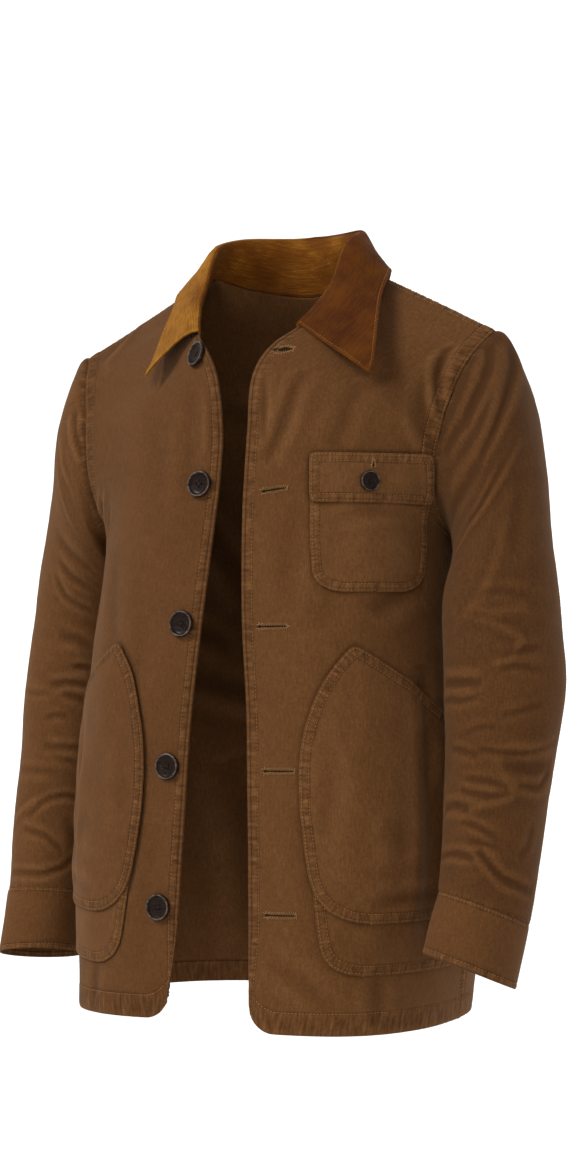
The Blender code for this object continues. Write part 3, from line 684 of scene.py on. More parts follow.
# One row of lockstitches: a closed tube that dives into the cloth between stitches.
def stitchRow(path, normals):
    run = knotsOf(path)
    count = max(int(run[-1] / thread["pitch"]), 1)
    places = ((np.arange(count)[:, None] + np.array(thread["knots"])) / count).ravel() * run[-1]
    heights = np.tile((-thread["sink"], thread["rise"], thread["rise"]), count)
    centre = readAt(places, run, path)
    normal = unit(readAt(places, run, normals))
    side = unit(np.cross(np.gradient(centre, axis=0), normal))
    return tube(centre + normal * heights[:, None], side, normal, thread["radius"], thread["sides"])


def tube(centre, side, normal, radius, sides):
    sizes = np.full(len(centre), radius)
    sizes[0] = sizes[-1] = 0.0
    angle = np.linspace(0, 2 * pi, sides + 1)
    ring = side[:, None] * np.cos(angle)[None, :, None] + normal[:, None] * np.sin(angle)[None, :, None]
    return centre[:, None] + ring * sizes[:, None, None]


def threadPiece(name, tubes, material):
    whole = bmesh.new()
    for points in tubes:
        mesh = gridMesh(name, points)[0]
        whole.from_mesh(mesh)
        bpy.data.meshes.remove(mesh)
    bmesh.ops.remove_doubles(whole, verts=whole.verts, dist=0.00001)
    bmesh.ops.recalc_face_normals(whole, faces=whole.faces)
    item = finished(name, toMesh(whole, name), material)
    return item


# Finishes.
def startMaterial(name):
    material = bpy.data.materials.new(name)
    material.use_nodes = True
    return material, material.node_tree, material.node_tree.nodes["Principled BSDF"]


def add(tree, kind, settings=(), **inputs):
    made = tree.nodes.new("ShaderNode" + kind)
    for key, value in dict(settings).items():
        setattr(made, key, value)
    for key, value in inputs.items():
        socket = made.inputs[int(key[1:])]
        if isinstance(value, bpy.types.NodeSocket):
            tree.links.new(value, socket)
        else:
            socket.default_value = value
    return made


waveScale = 0.314  # a Wave texture of this scale repeats once in a metre


def maths(tree, operation, first, second=0.0, third=0.5):
    return add(tree, "Math", {"operation": operation}, i0=first, i1=second, i2=third).outputs[0]


def noise(tree, place, scale, detail, rough=0.5):
    return add(tree, "TexNoise", i0=place, i2=scale, i3=detail, i4=rough).outputs[0]


def stretched(tree, place, scale, turn=(0.0, 0.0, 0.0)):
    return add(tree, "Mapping", i0=place, i2=turn, i3=scale).outputs[0]


def bands(tree, place, direction, scale, warp, detail=1.0, warpScale=1.0):
    return add(tree, "TexWave", {"bands_direction": direction}, i0=place, i1=scale, i2=warp,
               i3=detail, i4=warpScale).outputs[1]


# Bumps of a strength and a height.
def bumps(tree, size, height):
    return add(tree, "Bump", i0=size[0], i1=size[1], i3=height).outputs[0]


def centred(tree, value):
    return maths(tree, "SUBTRACT", value, 0.5)


# A base plus each value times its share.
def mixed(tree, base, terms):
    for value, share in terms:
        base = maths(tree, "MULTIPLY_ADD", value, share, base)
    return base


def colours(tree, factor, stops):
    ramp = add(tree, "ValToRGB", i0=factor)
    elements = ramp.color_ramp.elements
    while len(elements) < len(stops):
        elements.new(0.5)
    for element, (place, colour) in zip(elements, stops):
        element.position = place
        element.color = (*colour, 1.0)
    return ramp.outputs[0]


# What is worked out by nodes is linked; what is the same all over is set on the shader.
def finishShader(tree, shader, links, values):
    for name, socket in links.items():
        tree.links.new(socket, shader.inputs[name])
    for name, value in values.items():
        shader.inputs[name].default_value = value


# Brushed cotton twill: slanting yarns from the cloth's own map, slow fading over the
# garment, streaky yarns, puckers beside the stitching with painted light and shade on
# their ripples, and the tone attribute: wear on ridges and edges mixed with painted
# sheen, painted shade in hollows and beside seams, pockets and collar, and painted
# light and shade over whole pieces.
canvasLook = dict(hollow=(0.046, 0.0176, 0.0048), plain=(0.086, 0.0352, 0.0104),
                  worn=(0.142, 0.0640, 0.0225), plainAt=0.48, rough=0.82, roughSpread=0.16, base=0.47,
                  yarn=0.00075, twillWarp=1.2, weftWarp=0.8, weftShare=0.8, twill=0.10,
                  fadingNoise=(9.0, 5.0, 0.55), fading=0.22, mottleNoise=(380.0, 3.0, 0.6), mottle=0.70,
                  slubStretch=(900.0, 90.0, 1.0), slub=0.60, puckerStretch=(300.0, 60.0, 0.0),
                  puckerLevel=0.55, pucker=1.45, tone=0.26, twillHigh=0.7, weftHigh=0.3, mottleHigh=0.9,
                  weaveBump=(0.35, 0.00022), puckerBump=(0.9, 0.0011),
                  surface={"Sheen Weight": 0.08, "Sheen Roughness": 0.45, "Specular IOR Level": 0.08,
                           "Sheen Tint": (0.95, 0.62, 0.36, 1.0)})


def canvasMaterial(name, look):
    material, tree, shader = startMaterial(name)
    cloth2d = add(tree, "UVMap", {"uv_map": "Cloth"}).outputs[0]
    place = add(tree, "TexCoord").outputs["Object"]
    seam = add(tree, "Attribute", {"attribute_name": "seam"}).outputs["Vector"]
    tone = add(tree, "Attribute", {"attribute_name": "tone"}).outputs["Fac"]
    strength = add(tree, "SeparateXYZ", i0=seam).outputs[2]
    waves = waveScale / look["yarn"]
    twill = bands(tree, cloth2d, "DIAGONAL", waves, look["twillWarp"])
    weft = bands(tree, cloth2d, "Y", waves * look["weftShare"], look["weftWarp"])
    slub = noise(tree, stretched(tree, cloth2d, look["slubStretch"]), 1.0, 2.0)
    fading = noise(tree, place, *look["fadingNoise"])
    mottle = noise(tree, place, *look["mottleNoise"])
    pucker = noise(tree, stretched(tree, seam, look["puckerStretch"]), 1.0, 1.5)
    # The puckers also lighten and darken the colour: painted light and shade on their ripples.
    puckered = maths(tree, "MULTIPLY", maths(tree, "SUBTRACT", pucker, look["puckerLevel"]), strength)
    factor = mixed(tree, look["base"], (
        (centred(tree, fading), look["fading"]), (centred(tree, mottle), look["mottle"]),
        (centred(tree, slub), look["slub"]), (centred(tree, twill), look["twill"]),
        (puckered, look["pucker"]), (tone, look["tone"])))
    yarns = maths(tree, "ADD", maths(tree, "MULTIPLY", twill, look["twillHigh"]),
                  maths(tree, "MULTIPLY", weft, look["weftHigh"]))
    yarns = maths(tree, "ADD", yarns, maths(tree, "MULTIPLY", mottle, look["mottleHigh"]))
    weave = bumps(tree, look["weaveBump"], yarns)
    puckers = bumps(tree, look["puckerBump"], puckered)
    tree.links.new(weave, puckers.node.inputs["Normal"])
    finishShader(tree, shader, {
        "Base Color": colours(tree, factor, ((0.0, look["hollow"]), (look["plainAt"], look["plain"]),
                                             (1.0, look["worn"]))),
        "Roughness": maths(tree, "MULTIPLY_ADD", mottle, look["roughSpread"], look["rough"]),
        "Normal": puckers,
    }, look["surface"])
    return material


# Corduroy: narrow wales round the collar, their grooves painted darker as shade, a rubbed pile and fine
# fuzz.
# The palest colour is reached by worn pile and by the painted light on the right leaf.
corduroyLook = dict(hollow=(0.036, 0.0070, 0.0003), plain=(0.108, 0.0320, 0.0016),
                    worn=(0.330, 0.145, 0.0150), plainAt=0.5, rough=0.72, roughSpread=0.2, base=0.46,
                    wale=0.0016, waleWarp=(1.4, 2.0, 1.5), wales=0.16, rubbedNoise=(26.0, 6.0, 0.62),
                    rubbed=0.75, pileStretch=(420.0, 60.0, 1.0), pile=0.55, fuzzScale=900.0, fuzz=0.18,
                    fuzzHigh=0.5, tone=0.34, waleBump=(0.55, 0.0005),
                    surface={"Sheen Weight": 0.03, "Sheen Roughness": 0.32, "Specular IOR Level": 0.08,
                             "Sheen Tint": (1.0, 0.55, 0.18, 1.0)})


def corduroyMaterial(name, look):
    material, tree, shader = startMaterial(name)
    cloth2d = add(tree, "UVMap", {"uv_map": "Cloth"}).outputs[0]
    place = add(tree, "TexCoord").outputs["Object"]
    tone = add(tree, "Attribute", {"attribute_name": "tone"}).outputs["Fac"]
    wales = bands(tree, cloth2d, "X", waveScale / look["wale"], *look["waleWarp"])
    rubbed = noise(tree, place, *look["rubbedNoise"])
    pile = noise(tree, stretched(tree, cloth2d, look["pileStretch"]), 1.0, 3.0, 0.6)
    fuzz = noise(tree, place, look["fuzzScale"], 2.0)
    factor = mixed(tree, look["base"], (
        (centred(tree, wales), look["wales"]), (centred(tree, rubbed), look["rubbed"]),
        (centred(tree, pile), look["pile"]), (centred(tree, fuzz), look["fuzz"]), (tone, look["tone"])))
    height = maths(tree, "ADD", wales, maths(tree, "MULTIPLY", fuzz, look["fuzzHigh"]))
    finishShader(tree, shader, {
        "Base Color": colours(tree, factor, ((0.0, look["hollow"]), (look["plainAt"], look["plain"]),
                                             (1.0, look["worn"]))),
        "Roughness": maths(tree, "MULTIPLY_ADD", rubbed, look["roughSpread"], look["rough"]),
        "Normal": bumps(tree, look["waleBump"], height),
    }, look["surface"])
    return material


twistLook = dict(scale=900.0, darkAt=0.3, lightAt=0.7, bump=(0.4, 0.0002),
                 surface={"Roughness": 0.75, "Specular IOR Level": 0.06})
threadLook = dict(dark=(0.150, 0.070, 0.022), light=(0.260, 0.135, 0.050))
holeThreadLook = dict(dark=(0.200, 0.100, 0.035), light=(0.380, 0.220, 0.095))
darkThreadLook = dict(dark=(0.008, 0.005, 0.004), light=(0.030, 0.019, 0.014))
slitShadeLook = dict(dark=(0.006, 0.0032, 0.0014), light=(0.020, 0.010, 0.004))


def threadMaterial(name, look):
    material, tree, shader = startMaterial(name)
    twist = noise(tree, add(tree, "TexCoord").outputs["Object"], twistLook["scale"], 2.0)
    finishShader(tree, shader, {
        "Base Color": colours(tree, twist, ((twistLook["darkAt"], look["dark"]),
                                            (twistLook["lightAt"], look["light"]))),
        "Normal": bumps(tree, twistLook["bump"], twist),
    }, twistLook["surface"])
    return material


# Polished horn: clouded streaks that run through each button, a paler rim painted on as a highlight, and a
# thin coat.
hornLook = dict(dark=(0.0065, 0.0034, 0.0022), streak=(0.0160, 0.0092, 0.0064), pale=(0.150, 0.104, 0.074),
                darkAt=0.35, streakAt=0.66, stretch=(160.0, 60.0, 420.0), slant=(0.3, 0.2, 0.6),
                fineScale=2600.0, fine=0.12, rim=0.40, rough=0.30, roughSpread=0.22,
                fineBump=(0.12, 0.0002),
                surface={"Specular IOR Level": 0.05, "Coat Weight": 0.04, "Coat Roughness": 0.14})


def hornMaterial(name, look):
    material, tree, shader = startMaterial(name)
    place = add(tree, "TexCoord").outputs["Object"]
    cloud = noise(tree, stretched(tree, place, look["stretch"], look["slant"]), 1.0, 5.0, 0.6)
    fine = noise(tree, place, look["fineScale"], 2.0)
    # A paler ring on the rim: a painted highlight.
    rim = add(tree, "Attribute", {"attribute_name": "rim"}).outputs["Fac"]
    factor = maths(tree, "MULTIPLY_ADD", centred(tree, fine), look["fine"], cloud)
    factor = maths(tree, "ADD", factor, maths(tree, "MULTIPLY", rim, look["rim"]))
    finishShader(tree, shader, {
        "Base Color": colours(tree, factor, (
            (look["darkAt"], look["dark"]), (look["streakAt"], look["streak"]), (1.0, look["pale"]))),
        "Roughness": maths(tree, "MULTIPLY_ADD", cloud, look["roughSpread"], look["rough"]),
        "Normal": bumps(tree, look["fineBump"], fine),
    }, look["surface"])
    return material


canvas = canvasMaterial("canvas", canvasLook)
corduroy = corduroyMaterial("corduroy", corduroyLook)
stitching = threadMaterial("stitching", threadLook)
holeThread = threadMaterial("buttonhole thread", holeThreadLook)
horn = hornMaterial("horn", hornLook)
print("finishes made")


# Pockets: patches laid on the fronts. Each row is a height and how far the front and
# back edges are from the front's own edge there.
hipPocket = [
    (-0.607, 0.113, 0.236),
    (-0.6045, 0.094, 0.238),
    (-0.5965, 0.0765, 0.239),
    (-0.584, 0.0645, 0.240),
    (-0.569, 0.0585, 0.240),
    (-0.545, 0.0545, 0.240),
    (-0.507, 0.0505, 0.239),
    (-0.470, 0.050, 0.238),
    (-0.448, 0.052, 0.236),
    (-0.430, 0.056, 0.210),
    (-0.409, 0.0635, 0.183),
    (-0.390, 0.073, 0.157),
    (-0.375, 0.084, 0.133),
    (-0.3575, 0.1005, 0.105),
]
hipPatch = [
    (-0.6535, 0.109, 0.236),
    (-0.6515, 0.093, 0.238),
    (-0.6445, 0.0785, 0.239),
    (-0.632, 0.0695, 0.240),
    (-0.615, 0.0655, 0.240),
    (-0.580, 0.0615, 0.240),
    (-0.545, 0.0560, 0.240),
    (-0.507, 0.0520, 0.239),
]
chestPocket = [
    (-0.3085, 0.093, 0.158),
    (-0.3065, 0.083, 0.167),
    (-0.302, 0.073, 0.1755),
    (-0.294, 0.067, 0.181),
    (-0.262, 0.0645, 0.185),
    (-0.205, 0.063, 0.184),
]
chestFlap = [
    (-0.2275, 0.064, 0.184),
    (-0.2200, 0.0625, 0.1855),
    (-0.200, 0.0615, 0.182),
    (-0.1825, 0.0605, 0.178),
]
# fade: painted light over the left hip pocket and the chest pocket and flap, painted shade over the right
# hip pocket.
pocketLook = dict(step=0.0027, grain=0.0007, rounding=50, trim=0.00015, slide=-0.005, puff=0.0016,
                  puffReach=0.035, swell=0.0004, swellLength=0.05, swellReach=0.02, slack=0.0002, gap=0.006,
                  flat=0.0005, levels=500, every=5, shadeReach=0.0022, lift=0.0004, pucker=0.00026,
                  chestPuff=0.0008, fade={1: 0.25, -1: -0.30, "chest": 0.65})
pocketLifts = {"first": cloth["panelHalf"] + cloth["layGap"] + cloth["patchWall"] / 2}
pocketLifts["second"] = pocketLifts["first"] + cloth["layGap"] + cloth["patchWall"]
pocketLifts["flap"] = pocketLifts["second"] + 2 * cloth["seamGap"]


# Distance to an outline, and how far round it the nearest place is.
def toOutline(outline, spots):
    run = knotsOf(outline)
    start, step = outline[:-1], np.diff(outline, axis=0)
    size = np.maximum((step ** 2).sum(axis=1), 1e-12)
    away = np.full(len(spots), np.inf)
    around = np.zeros(len(spots))
    for a, s, q, at in zip(start, step, size, run):
        t = np.clip(((spots - a) @ s) / q, 0, 1)
        gap = np.linalg.norm(spots - a - t[:, None] * s, axis=1)
        nearer = gap < away
        away[nearer] = gap[nearer]
        around[nearer] = at + t[nearer] * np.sqrt(q)
    return away, around


# The table's corners as a smooth loop, and its front and back edges by height.
def outlineOf(table, slide):
    rows = np.array(table)
    corners = np.concatenate((rows[:, (1, 0)] + (slide, 0.0), rows[::-1, (2, 0)]))
    corners = np.concatenate((corners, corners[:1]))
    run = knotsOf(corners)
    loop = readAt(np.arange(0, run[-1], pocketLook["grain"]), run, corners)
    for _ in range(pocketLook["rounding"]):
        loop = (np.roll(loop, 1, axis=0) + 2 * loop + np.roll(loop, -1, axis=0)) / 4
    top = loop[:, 1].argmax()
    bottom = np.abs(loop[:, 0] - rows[0, 1:].mean()).argsort(kind="stable")
    bottom = next(k for k in bottom if loop[k, 1] < loop[:, 1].min() + pocketLook["flat"])
    loop = np.roll(loop, -bottom, axis=0)
    top = (top - bottom) % len(loop)
    low, high = loop[:, 1].min(), loop[:, 1].max()
    heights = np.linspace(low + pocketLook["trim"], high - pocketLook["trim"], pocketLook["levels"])
    edges = []
    for side in (loop[:top + 1], loop[:top - 1:-1]):
        climb = np.maximum.accumulate(side[:, 1]) + np.arange(len(side)) * 1e-9
        edges.append(np.interp(heights, climb, side[:, 0]))
    return heights, *edges, np.concatenate((loop, loop[:1]))


# Painted shade on the cloth beneath, beside a pocket's edge: the pocket's shadow.
def shadeBeside(outlines, across, height):
    shade = np.zeros(np.shape(across))
    spots = np.stack((np.ravel(across), np.ravel(height)), axis=1)
    for outline, deep in outlines:
        away = toOutline(outline[::pocketLook["every"]], spots)[0].reshape(shade.shape)
        shade = np.minimum(shade, -deep * bell(away, pocketLook["shadeReach"]))
    return shade


# What is sewn on each front, and how dark the shade beside it is.
sewnOn = {1: ((hipPocket, 1.1), (hipPatch, 1.0), (chestPocket, 1.1), (chestFlap, 2.0)),
          -1: ((hipPocket, 1.0), (hipPatch, 1.0))}
outlinesOn = {mirror: [(outlineOf(table, pocketLook["slide"] if mirror < 0 else 0.0)[3], deep)
                       for table, deep in rows] for mirror, rows in sewnOn.items()}


# Fronts.
frontLook = dict(across=0.0030, down=0.0032, edge=(0.010,), rim=0.0036, roll=0.0009, rollWidth=0.0009,
                 hem=(0.020,), sideRows=(0.002, 0.008), armRows=(0.002, 0.013), shoulderRows=(0.002, 0.010),
                 calm=0.015, edgeTone=0.5, shade=1.8, shadeReach=0.014, rimSteps=60, rimFrom=20, steps=200,
                 rimShade=0.0010, edgeShade=0.0008, edgeLift=0.0004, seamLift=0.0006,
                 swell=(0.0005, 0.11), ripple=(0.00006, 0.026), fade={1: 0.0, -1: -0.45})
frontFolds = {
    1: [
        (0.045, -0.104, 0.019, -0.192, 0.004, 0.0065, 0.0024),
        (0.0975, -0.114, 0.079, -0.180, 0.004, 0.009, 0.0017),
        (0.0116, -0.108, 0.0165, -0.172, 0.001, 0.0035, 0.0012),
        (0.140, -0.085, 0.184, -0.186, -0.005, 0.0070, 0.0026),
        (0.090, -0.235, 0.070, -0.345, 0.006, 0.013, 0.0012),
        (0.120, -0.330, 0.185, -0.300, 0.006, 0.010, 0.0020),
        (0.050, -0.225, 0.042, -0.330, -0.004, 0.012, 0.0010),
        (0.172, -0.370, 0.168, -0.640, 0.004, 0.0085, 0.0034),
        (0.156, -0.385, 0.153, -0.600, 0.003, 0.0090, -0.0020),
        (0.207, -0.455, 0.176, -0.515, 0.004, 0.0065, 0.0022),
        (0.100, -0.380, 0.091, -0.452, 0.002, 0.0080, 0.0012),
        (0.045, -0.500, 0.060, -0.640, 0.005, 0.014, 0.0012),
        (0.215, -0.330, 0.225, -0.440, 0.004, 0.009, 0.0024),
        (0.020, -0.640, 0.090, -0.690, 0.003, 0.008, 0.0010),
        (0.120, -0.655, 0.130, -0.700, 0.002, 0.008, 0.0014),
    ],
    -1: [
        (0.083, -0.038, 0.157, -0.101, -0.003, 0.0034, -0.0017),
        (0.100, -0.040, 0.168, -0.100, -0.004, 0.0080, 0.0012),
        (0.222, -0.235, 0.190, -0.207, 0.002, 0.0030, -0.0018),
        (0.222, -0.250, 0.190, -0.220, 0.003, 0.0045, 0.0022),
        (0.205, -0.272, 0.176, -0.208, -0.002, 0.0030, -0.0016),
        (0.190, -0.275, 0.165, -0.225, -0.002, 0.0055, 0.0014),
        (0.030, -0.110, 0.036, -0.235, 0.004, 0.010, 0.0014),
        (0.011, -0.115, 0.012, -0.190, 0.001, 0.0035, 0.0009),
        (0.090, -0.120, 0.075, -0.260, -0.006, 0.016, 0.0013),
        (0.130, -0.260, 0.100, -0.390, 0.008, 0.014, 0.0014),
        (0.060, -0.330, 0.085, -0.480, 0.006, 0.016, 0.0013),
        (0.165, -0.420, 0.160, -0.590, 0.004, 0.010, 0.0024),
        (0.190, -0.470, 0.175, -0.530, 0.003, 0.007, 0.0016),
        (0.035, -0.520, 0.050, -0.660, -0.005, 0.014, 0.0012),
        (0.100, -0.650, 0.108, -0.700, 0.002, 0.008, 0.0013),
    ],
}
# Sharper creases: width, depth, then places along it.
frontCreases = {
    1: [(0.0032, 0.0050, 0.127, -0.079, 0.144, -0.099, 0.156, -0.114, 0.170, -0.133, 0.179, -0.147)],
    -1: [],
}


hemBorder = dict(lift=0.0003, pucker=0.00018, wave=0.012)
armBorder = dict(lift=0.0006, pucker=0.00016)


def measures(points, sign, closed=False):
    low = runsOf(points.transpose(1, 0, 2)).T
    return dict(base=points, normals=normalsOf(points, sign, closed), fromHem=low, fromTop=low[-1:] - low,
                half=cloth["wall"] / 2)


# The rows' places from hem to shoulder, where the armhole starts, and a share that
# turns from the side seam to the armhole there.
def rowPlaces(armhole, look):
    knots = sideKnots(armhole)
    places = ladder(knots[-1], look["down"], look["hem"], look["shoulderRows"])[0]
    under = knots[len(sideSeam) - 1]
    return places, knots[-1], under, smoothStep((places[:, None] - under) / cloth["armBlend"])


# Painted shade on the front beside the rim of the collar's fall: the leaf's shadow.
def shadeUnderFall(points, mirror):
    rim = fallPoints(mirror, shares(frontLook["rimSteps"]), np.ones(1))[0, frontLook["rimFrom"]:]
    gap = np.min([np.hypot(points[..., 0] - spot[0], points[..., 2] - spot[2]) for spot in rim], axis=0)
    return -frontLook["shade"] * smoothStep(1 - gap / frontLook["shadeReach"])


def buildFront(mirror, word):
    look = frontLook
    rows, total, under, above = rowPlaces(armholeFront, look)
    dense = stance(frontShape(edgesOf(mirror), shares(look["steps"]), rows / total), mirror)
    middle = knotsOf(dense[len(rows) // 2])[-1]
    places, *counts = ladder(middle, look["across"], (look["rim"], *look["edge"]), look["armRows"])
    points, across = alongRows(dense, places, counts, middle)
    piece = measures(points, mirror)
    place = np.broadcast_to(rows[:, None], across.shape)
    side = across[:, -1:] - across
    piece.update(across=across, side=side, place=place, under=under)
    z = points[..., 2]
    seed = 11 if mirror > 0 else 23
    relief = folds(across, z, frontFolds[mirror]) + creases(across, z, frontCreases[mirror])
    relief = wavy(relief, across, z, look, seed) * smoothStep(piece["fromTop"] / look["calm"])
    relief += border(across, z, look["edge"], seed + 2, lift=look["edgeLift"])
    relief -= look["roll"] * bell(across - look["rim"], look["rollWidth"])
    relief += border(piece["fromHem"], across, look["hem"], seed + 4, **hemBorder)
    armhole = border(side, place, look["armRows"], seed + 6, **armBorder)
    seamed = border(side, z, look["sideRows"], seed + 8, lift=look["seamLift"])
    relief += above * armhole + (1 - above) * seamed
    relief += border(piece["fromTop"], across, look["shoulderRows"], seed + 10, lift=look["seamLift"])
    piece["points"] = points + piece["normals"] * relief[..., None]
    uv = np.stack((across, piece["fromHem"]), axis=-1)
    seam = seamField(across.shape, (z, across, look["edge"]), (across, piece["fromHem"], look["hem"]),
                     (place, side, look["armRows"]), (across, piece["fromTop"], look["shoulderRows"]))
    tone = toneOf(relief) + look["edgeTone"] * wornEdge(across, look["edge"])
    tone = tone + wornEdge(piece["fromHem"], look["hem"])
    # Painted shade along the rolled rim line and in a fine line at the very front edge.
    tone -= cloth["lineShade"] * (bell(across - look["rim"], look["rimShade"]) + bell(across, look["edgeShade"]))
    tone += shadeUnderFall(piece["points"], mirror)
    tone += (1 - above) * wornEdge(side, look["sideRows"])
    tone += above * wornEdge(side, look["armRows"]) + shadeBeside(outlinesOn[mirror], across, z)
    # fade darkens the whole right front: painted shade.
    tone += look["fade"][mirror]
    piece["item"] = clothPiece("front_" + word, piece["points"], uv, seam, tone, cloth["wall"], canvas)
    return piece


# A line on a piece where one of its measures has a given value, on the outer face.
def lineAt(piece, key, value, keep=None):
    byColumn = key in ("fromHem", "fromTop")
    field, points, normals = piece[key], piece["points"], piece["normals"]
    if byColumn:
        field = field.T
        points = points.transpose(1, 0, 2)
        normals = normals.transpose(1, 0, 2)
    if keep is not None:
        field, points, normals = field[keep], points[keep], normals[keep]
    if field[0, 0] > field[0, -1]:
        field, points, normals = field[:, ::-1], points[:, ::-1], normals[:, ::-1]
    path = np.array([readAt(value, line, row) for line, row in zip(field, points)])
    facing = unit(np.array([readAt(value, line, row) for line, row in zip(field, normals)]))
    return path + facing * piece["half"], facing


# The panel read on an even net of distance from the front edge and height, so that
# pockets, buttons and buttonholes can be laid on it.
netLook = dict(step=0.0025, reach=0.305, low=-0.725, high=-0.02)


def netOf(piece):
    distances = np.arange(0, netLook["reach"], netLook["step"])
    heights = np.arange(netLook["low"], netLook["high"], netLook["step"])
    levels = np.array([np.interp(distances, line, row[:, 2])
                       for line, row in zip(piece["across"], piece["base"])])
    net = {}
    for name in ("points", "normals"):
        rows = np.array([readAt(distances, line, row) for line, row in zip(piece["across"], piece[name])])
        net[name] = np.array([readAt(heights, levels[:, k], rows[:, k]) for k in range(len(distances))])
        net[name] = net[name].transpose(1, 0, 2)
    return net


def onNet(net, across, height, lift):
    shape = net["points"].shape
    # 1.001 keeps the last place just inside the last cell.
    column = np.clip(np.asarray(across) / netLook["step"], 0, shape[1] - 1.001)
    row = np.clip((np.asarray(height) - netLook["low"]) / netLook["step"], 0, shape[0] - 1.001)
    c, r = column.astype(int), row.astype(int)
    u, v = (column - c)[..., None], (row - r)[..., None]

    def read(values):
        low = values[r, c] * (1 - u) + values[r, c + 1] * u
        high = values[r + 1, c] * (1 - u) + values[r + 1, c + 1] * u
        return low * (1 - v) + high * v

    normal = unit(read(net["normals"]))
    return read(net["points"]) + normal * np.asarray(lift)[..., None], normal


def sewn(piece, key, marks, keep=None):
    return [stitchRow(*lineAt(piece, key, mark, keep)) for mark in marks]


def stitchFront(piece, word):
    look = frontLook
    rows = piece["place"][:, 0]
    runs = sewn(piece, "across", look["edge"]) + sewn(piece, "fromHem", look["hem"])
    runs += sewn(piece, "side", look["armRows"], rows > piece["under"])
    runs += sewn(piece, "side", look["sideRows"], rows < piece["under"])
    runs += sewn(piece, "fromTop", look["shoulderRows"])
    return threadPiece("stitching_front_" + word, runs, stitching)


fronts = {}
for mirror, word in sides:
    fronts[mirror] = buildFront(mirror, word)
    stitchFront(fronts[mirror], word)
nets = {mirror: netOf(fronts[mirror]) for mirror in fronts}
print("fronts made")


# Back.
backLook = dict(across=0.0042, down=0.0040, hem=(0.020,), armRows=(0.002, 0.013), shoulderRows=(0.002,),
                steps=110, tuck=(0.0030, 0.0070), tuckRows=6, calm=0.010, corner=0.008, lapPast=0.0002,
                swell=(0.0008, 0.13), ripple=(0.00008, 0.030), pleat=0.034, pleatEdge=0.0012,
                pleatStep=0.0016, pleatDitch=0.0010, pleatDitchWidth=0.0010, pleatFlat=0.050,
                pleatEnd=-0.38, pleatFade=0.10)
backFolds = [
    (-0.190, -0.215, -0.090, -0.330, 0.012, 0.012, 0.0032),
    (0.185, -0.200, 0.105, -0.345, -0.014, 0.012, 0.0030),
    (-0.120, -0.120, -0.040, -0.170, 0.006, 0.012, 0.0015),
    (0.110, -0.110, 0.050, -0.180, -0.004, 0.010, 0.0014),
    (-0.165, -0.395, 0.020, -0.425, -0.012, 0.011, 0.0026),
    (-0.060, -0.450, 0.150, -0.430, -0.010, 0.012, 0.0028),
    (0.060, -0.372, 0.190, -0.345, 0.008, 0.010, 0.0022),
    (-0.200, -0.340, -0.110, -0.372, 0.006, 0.009, 0.0020),
    (-0.120, -0.480, -0.100, -0.690, 0.010, 0.018, 0.0030),
    (0.090, -0.490, 0.115, -0.690, -0.012, 0.018, 0.0030),
    (0.000, -0.540, -0.010, -0.700, 0.008, 0.022, 0.0020),
    (0.210, -0.480, 0.200, -0.620, 0.006, 0.012, 0.0020),
    (-0.215, -0.450, -0.200, -0.600, -0.006, 0.012, 0.0018),
]


# The back's shoulder edge runs on under the fronts, so that no light shows through.
def underShoulder(edge, share):
    rows = []
    for reach in backLook["tuck"]:
        row = edge.copy()
        for mirror, front in fronts.items():
            top = front["points"][-1]
            fall = unit(front["points"][-backLook["tuckRows"]] - top)
            meet = top + fall * reach - front["normals"][-1] * (cloth["wall"] + cloth["seamGap"])
            mine = edge[:, 0] * mirror > 0
            order = np.argsort(top[:, 0])
            row[mine] = readAt(edge[mine, 0], top[order, 0], meet[order])
        rows.append(edge + (row - edge) * share[:, None])
    return np.array(rows)


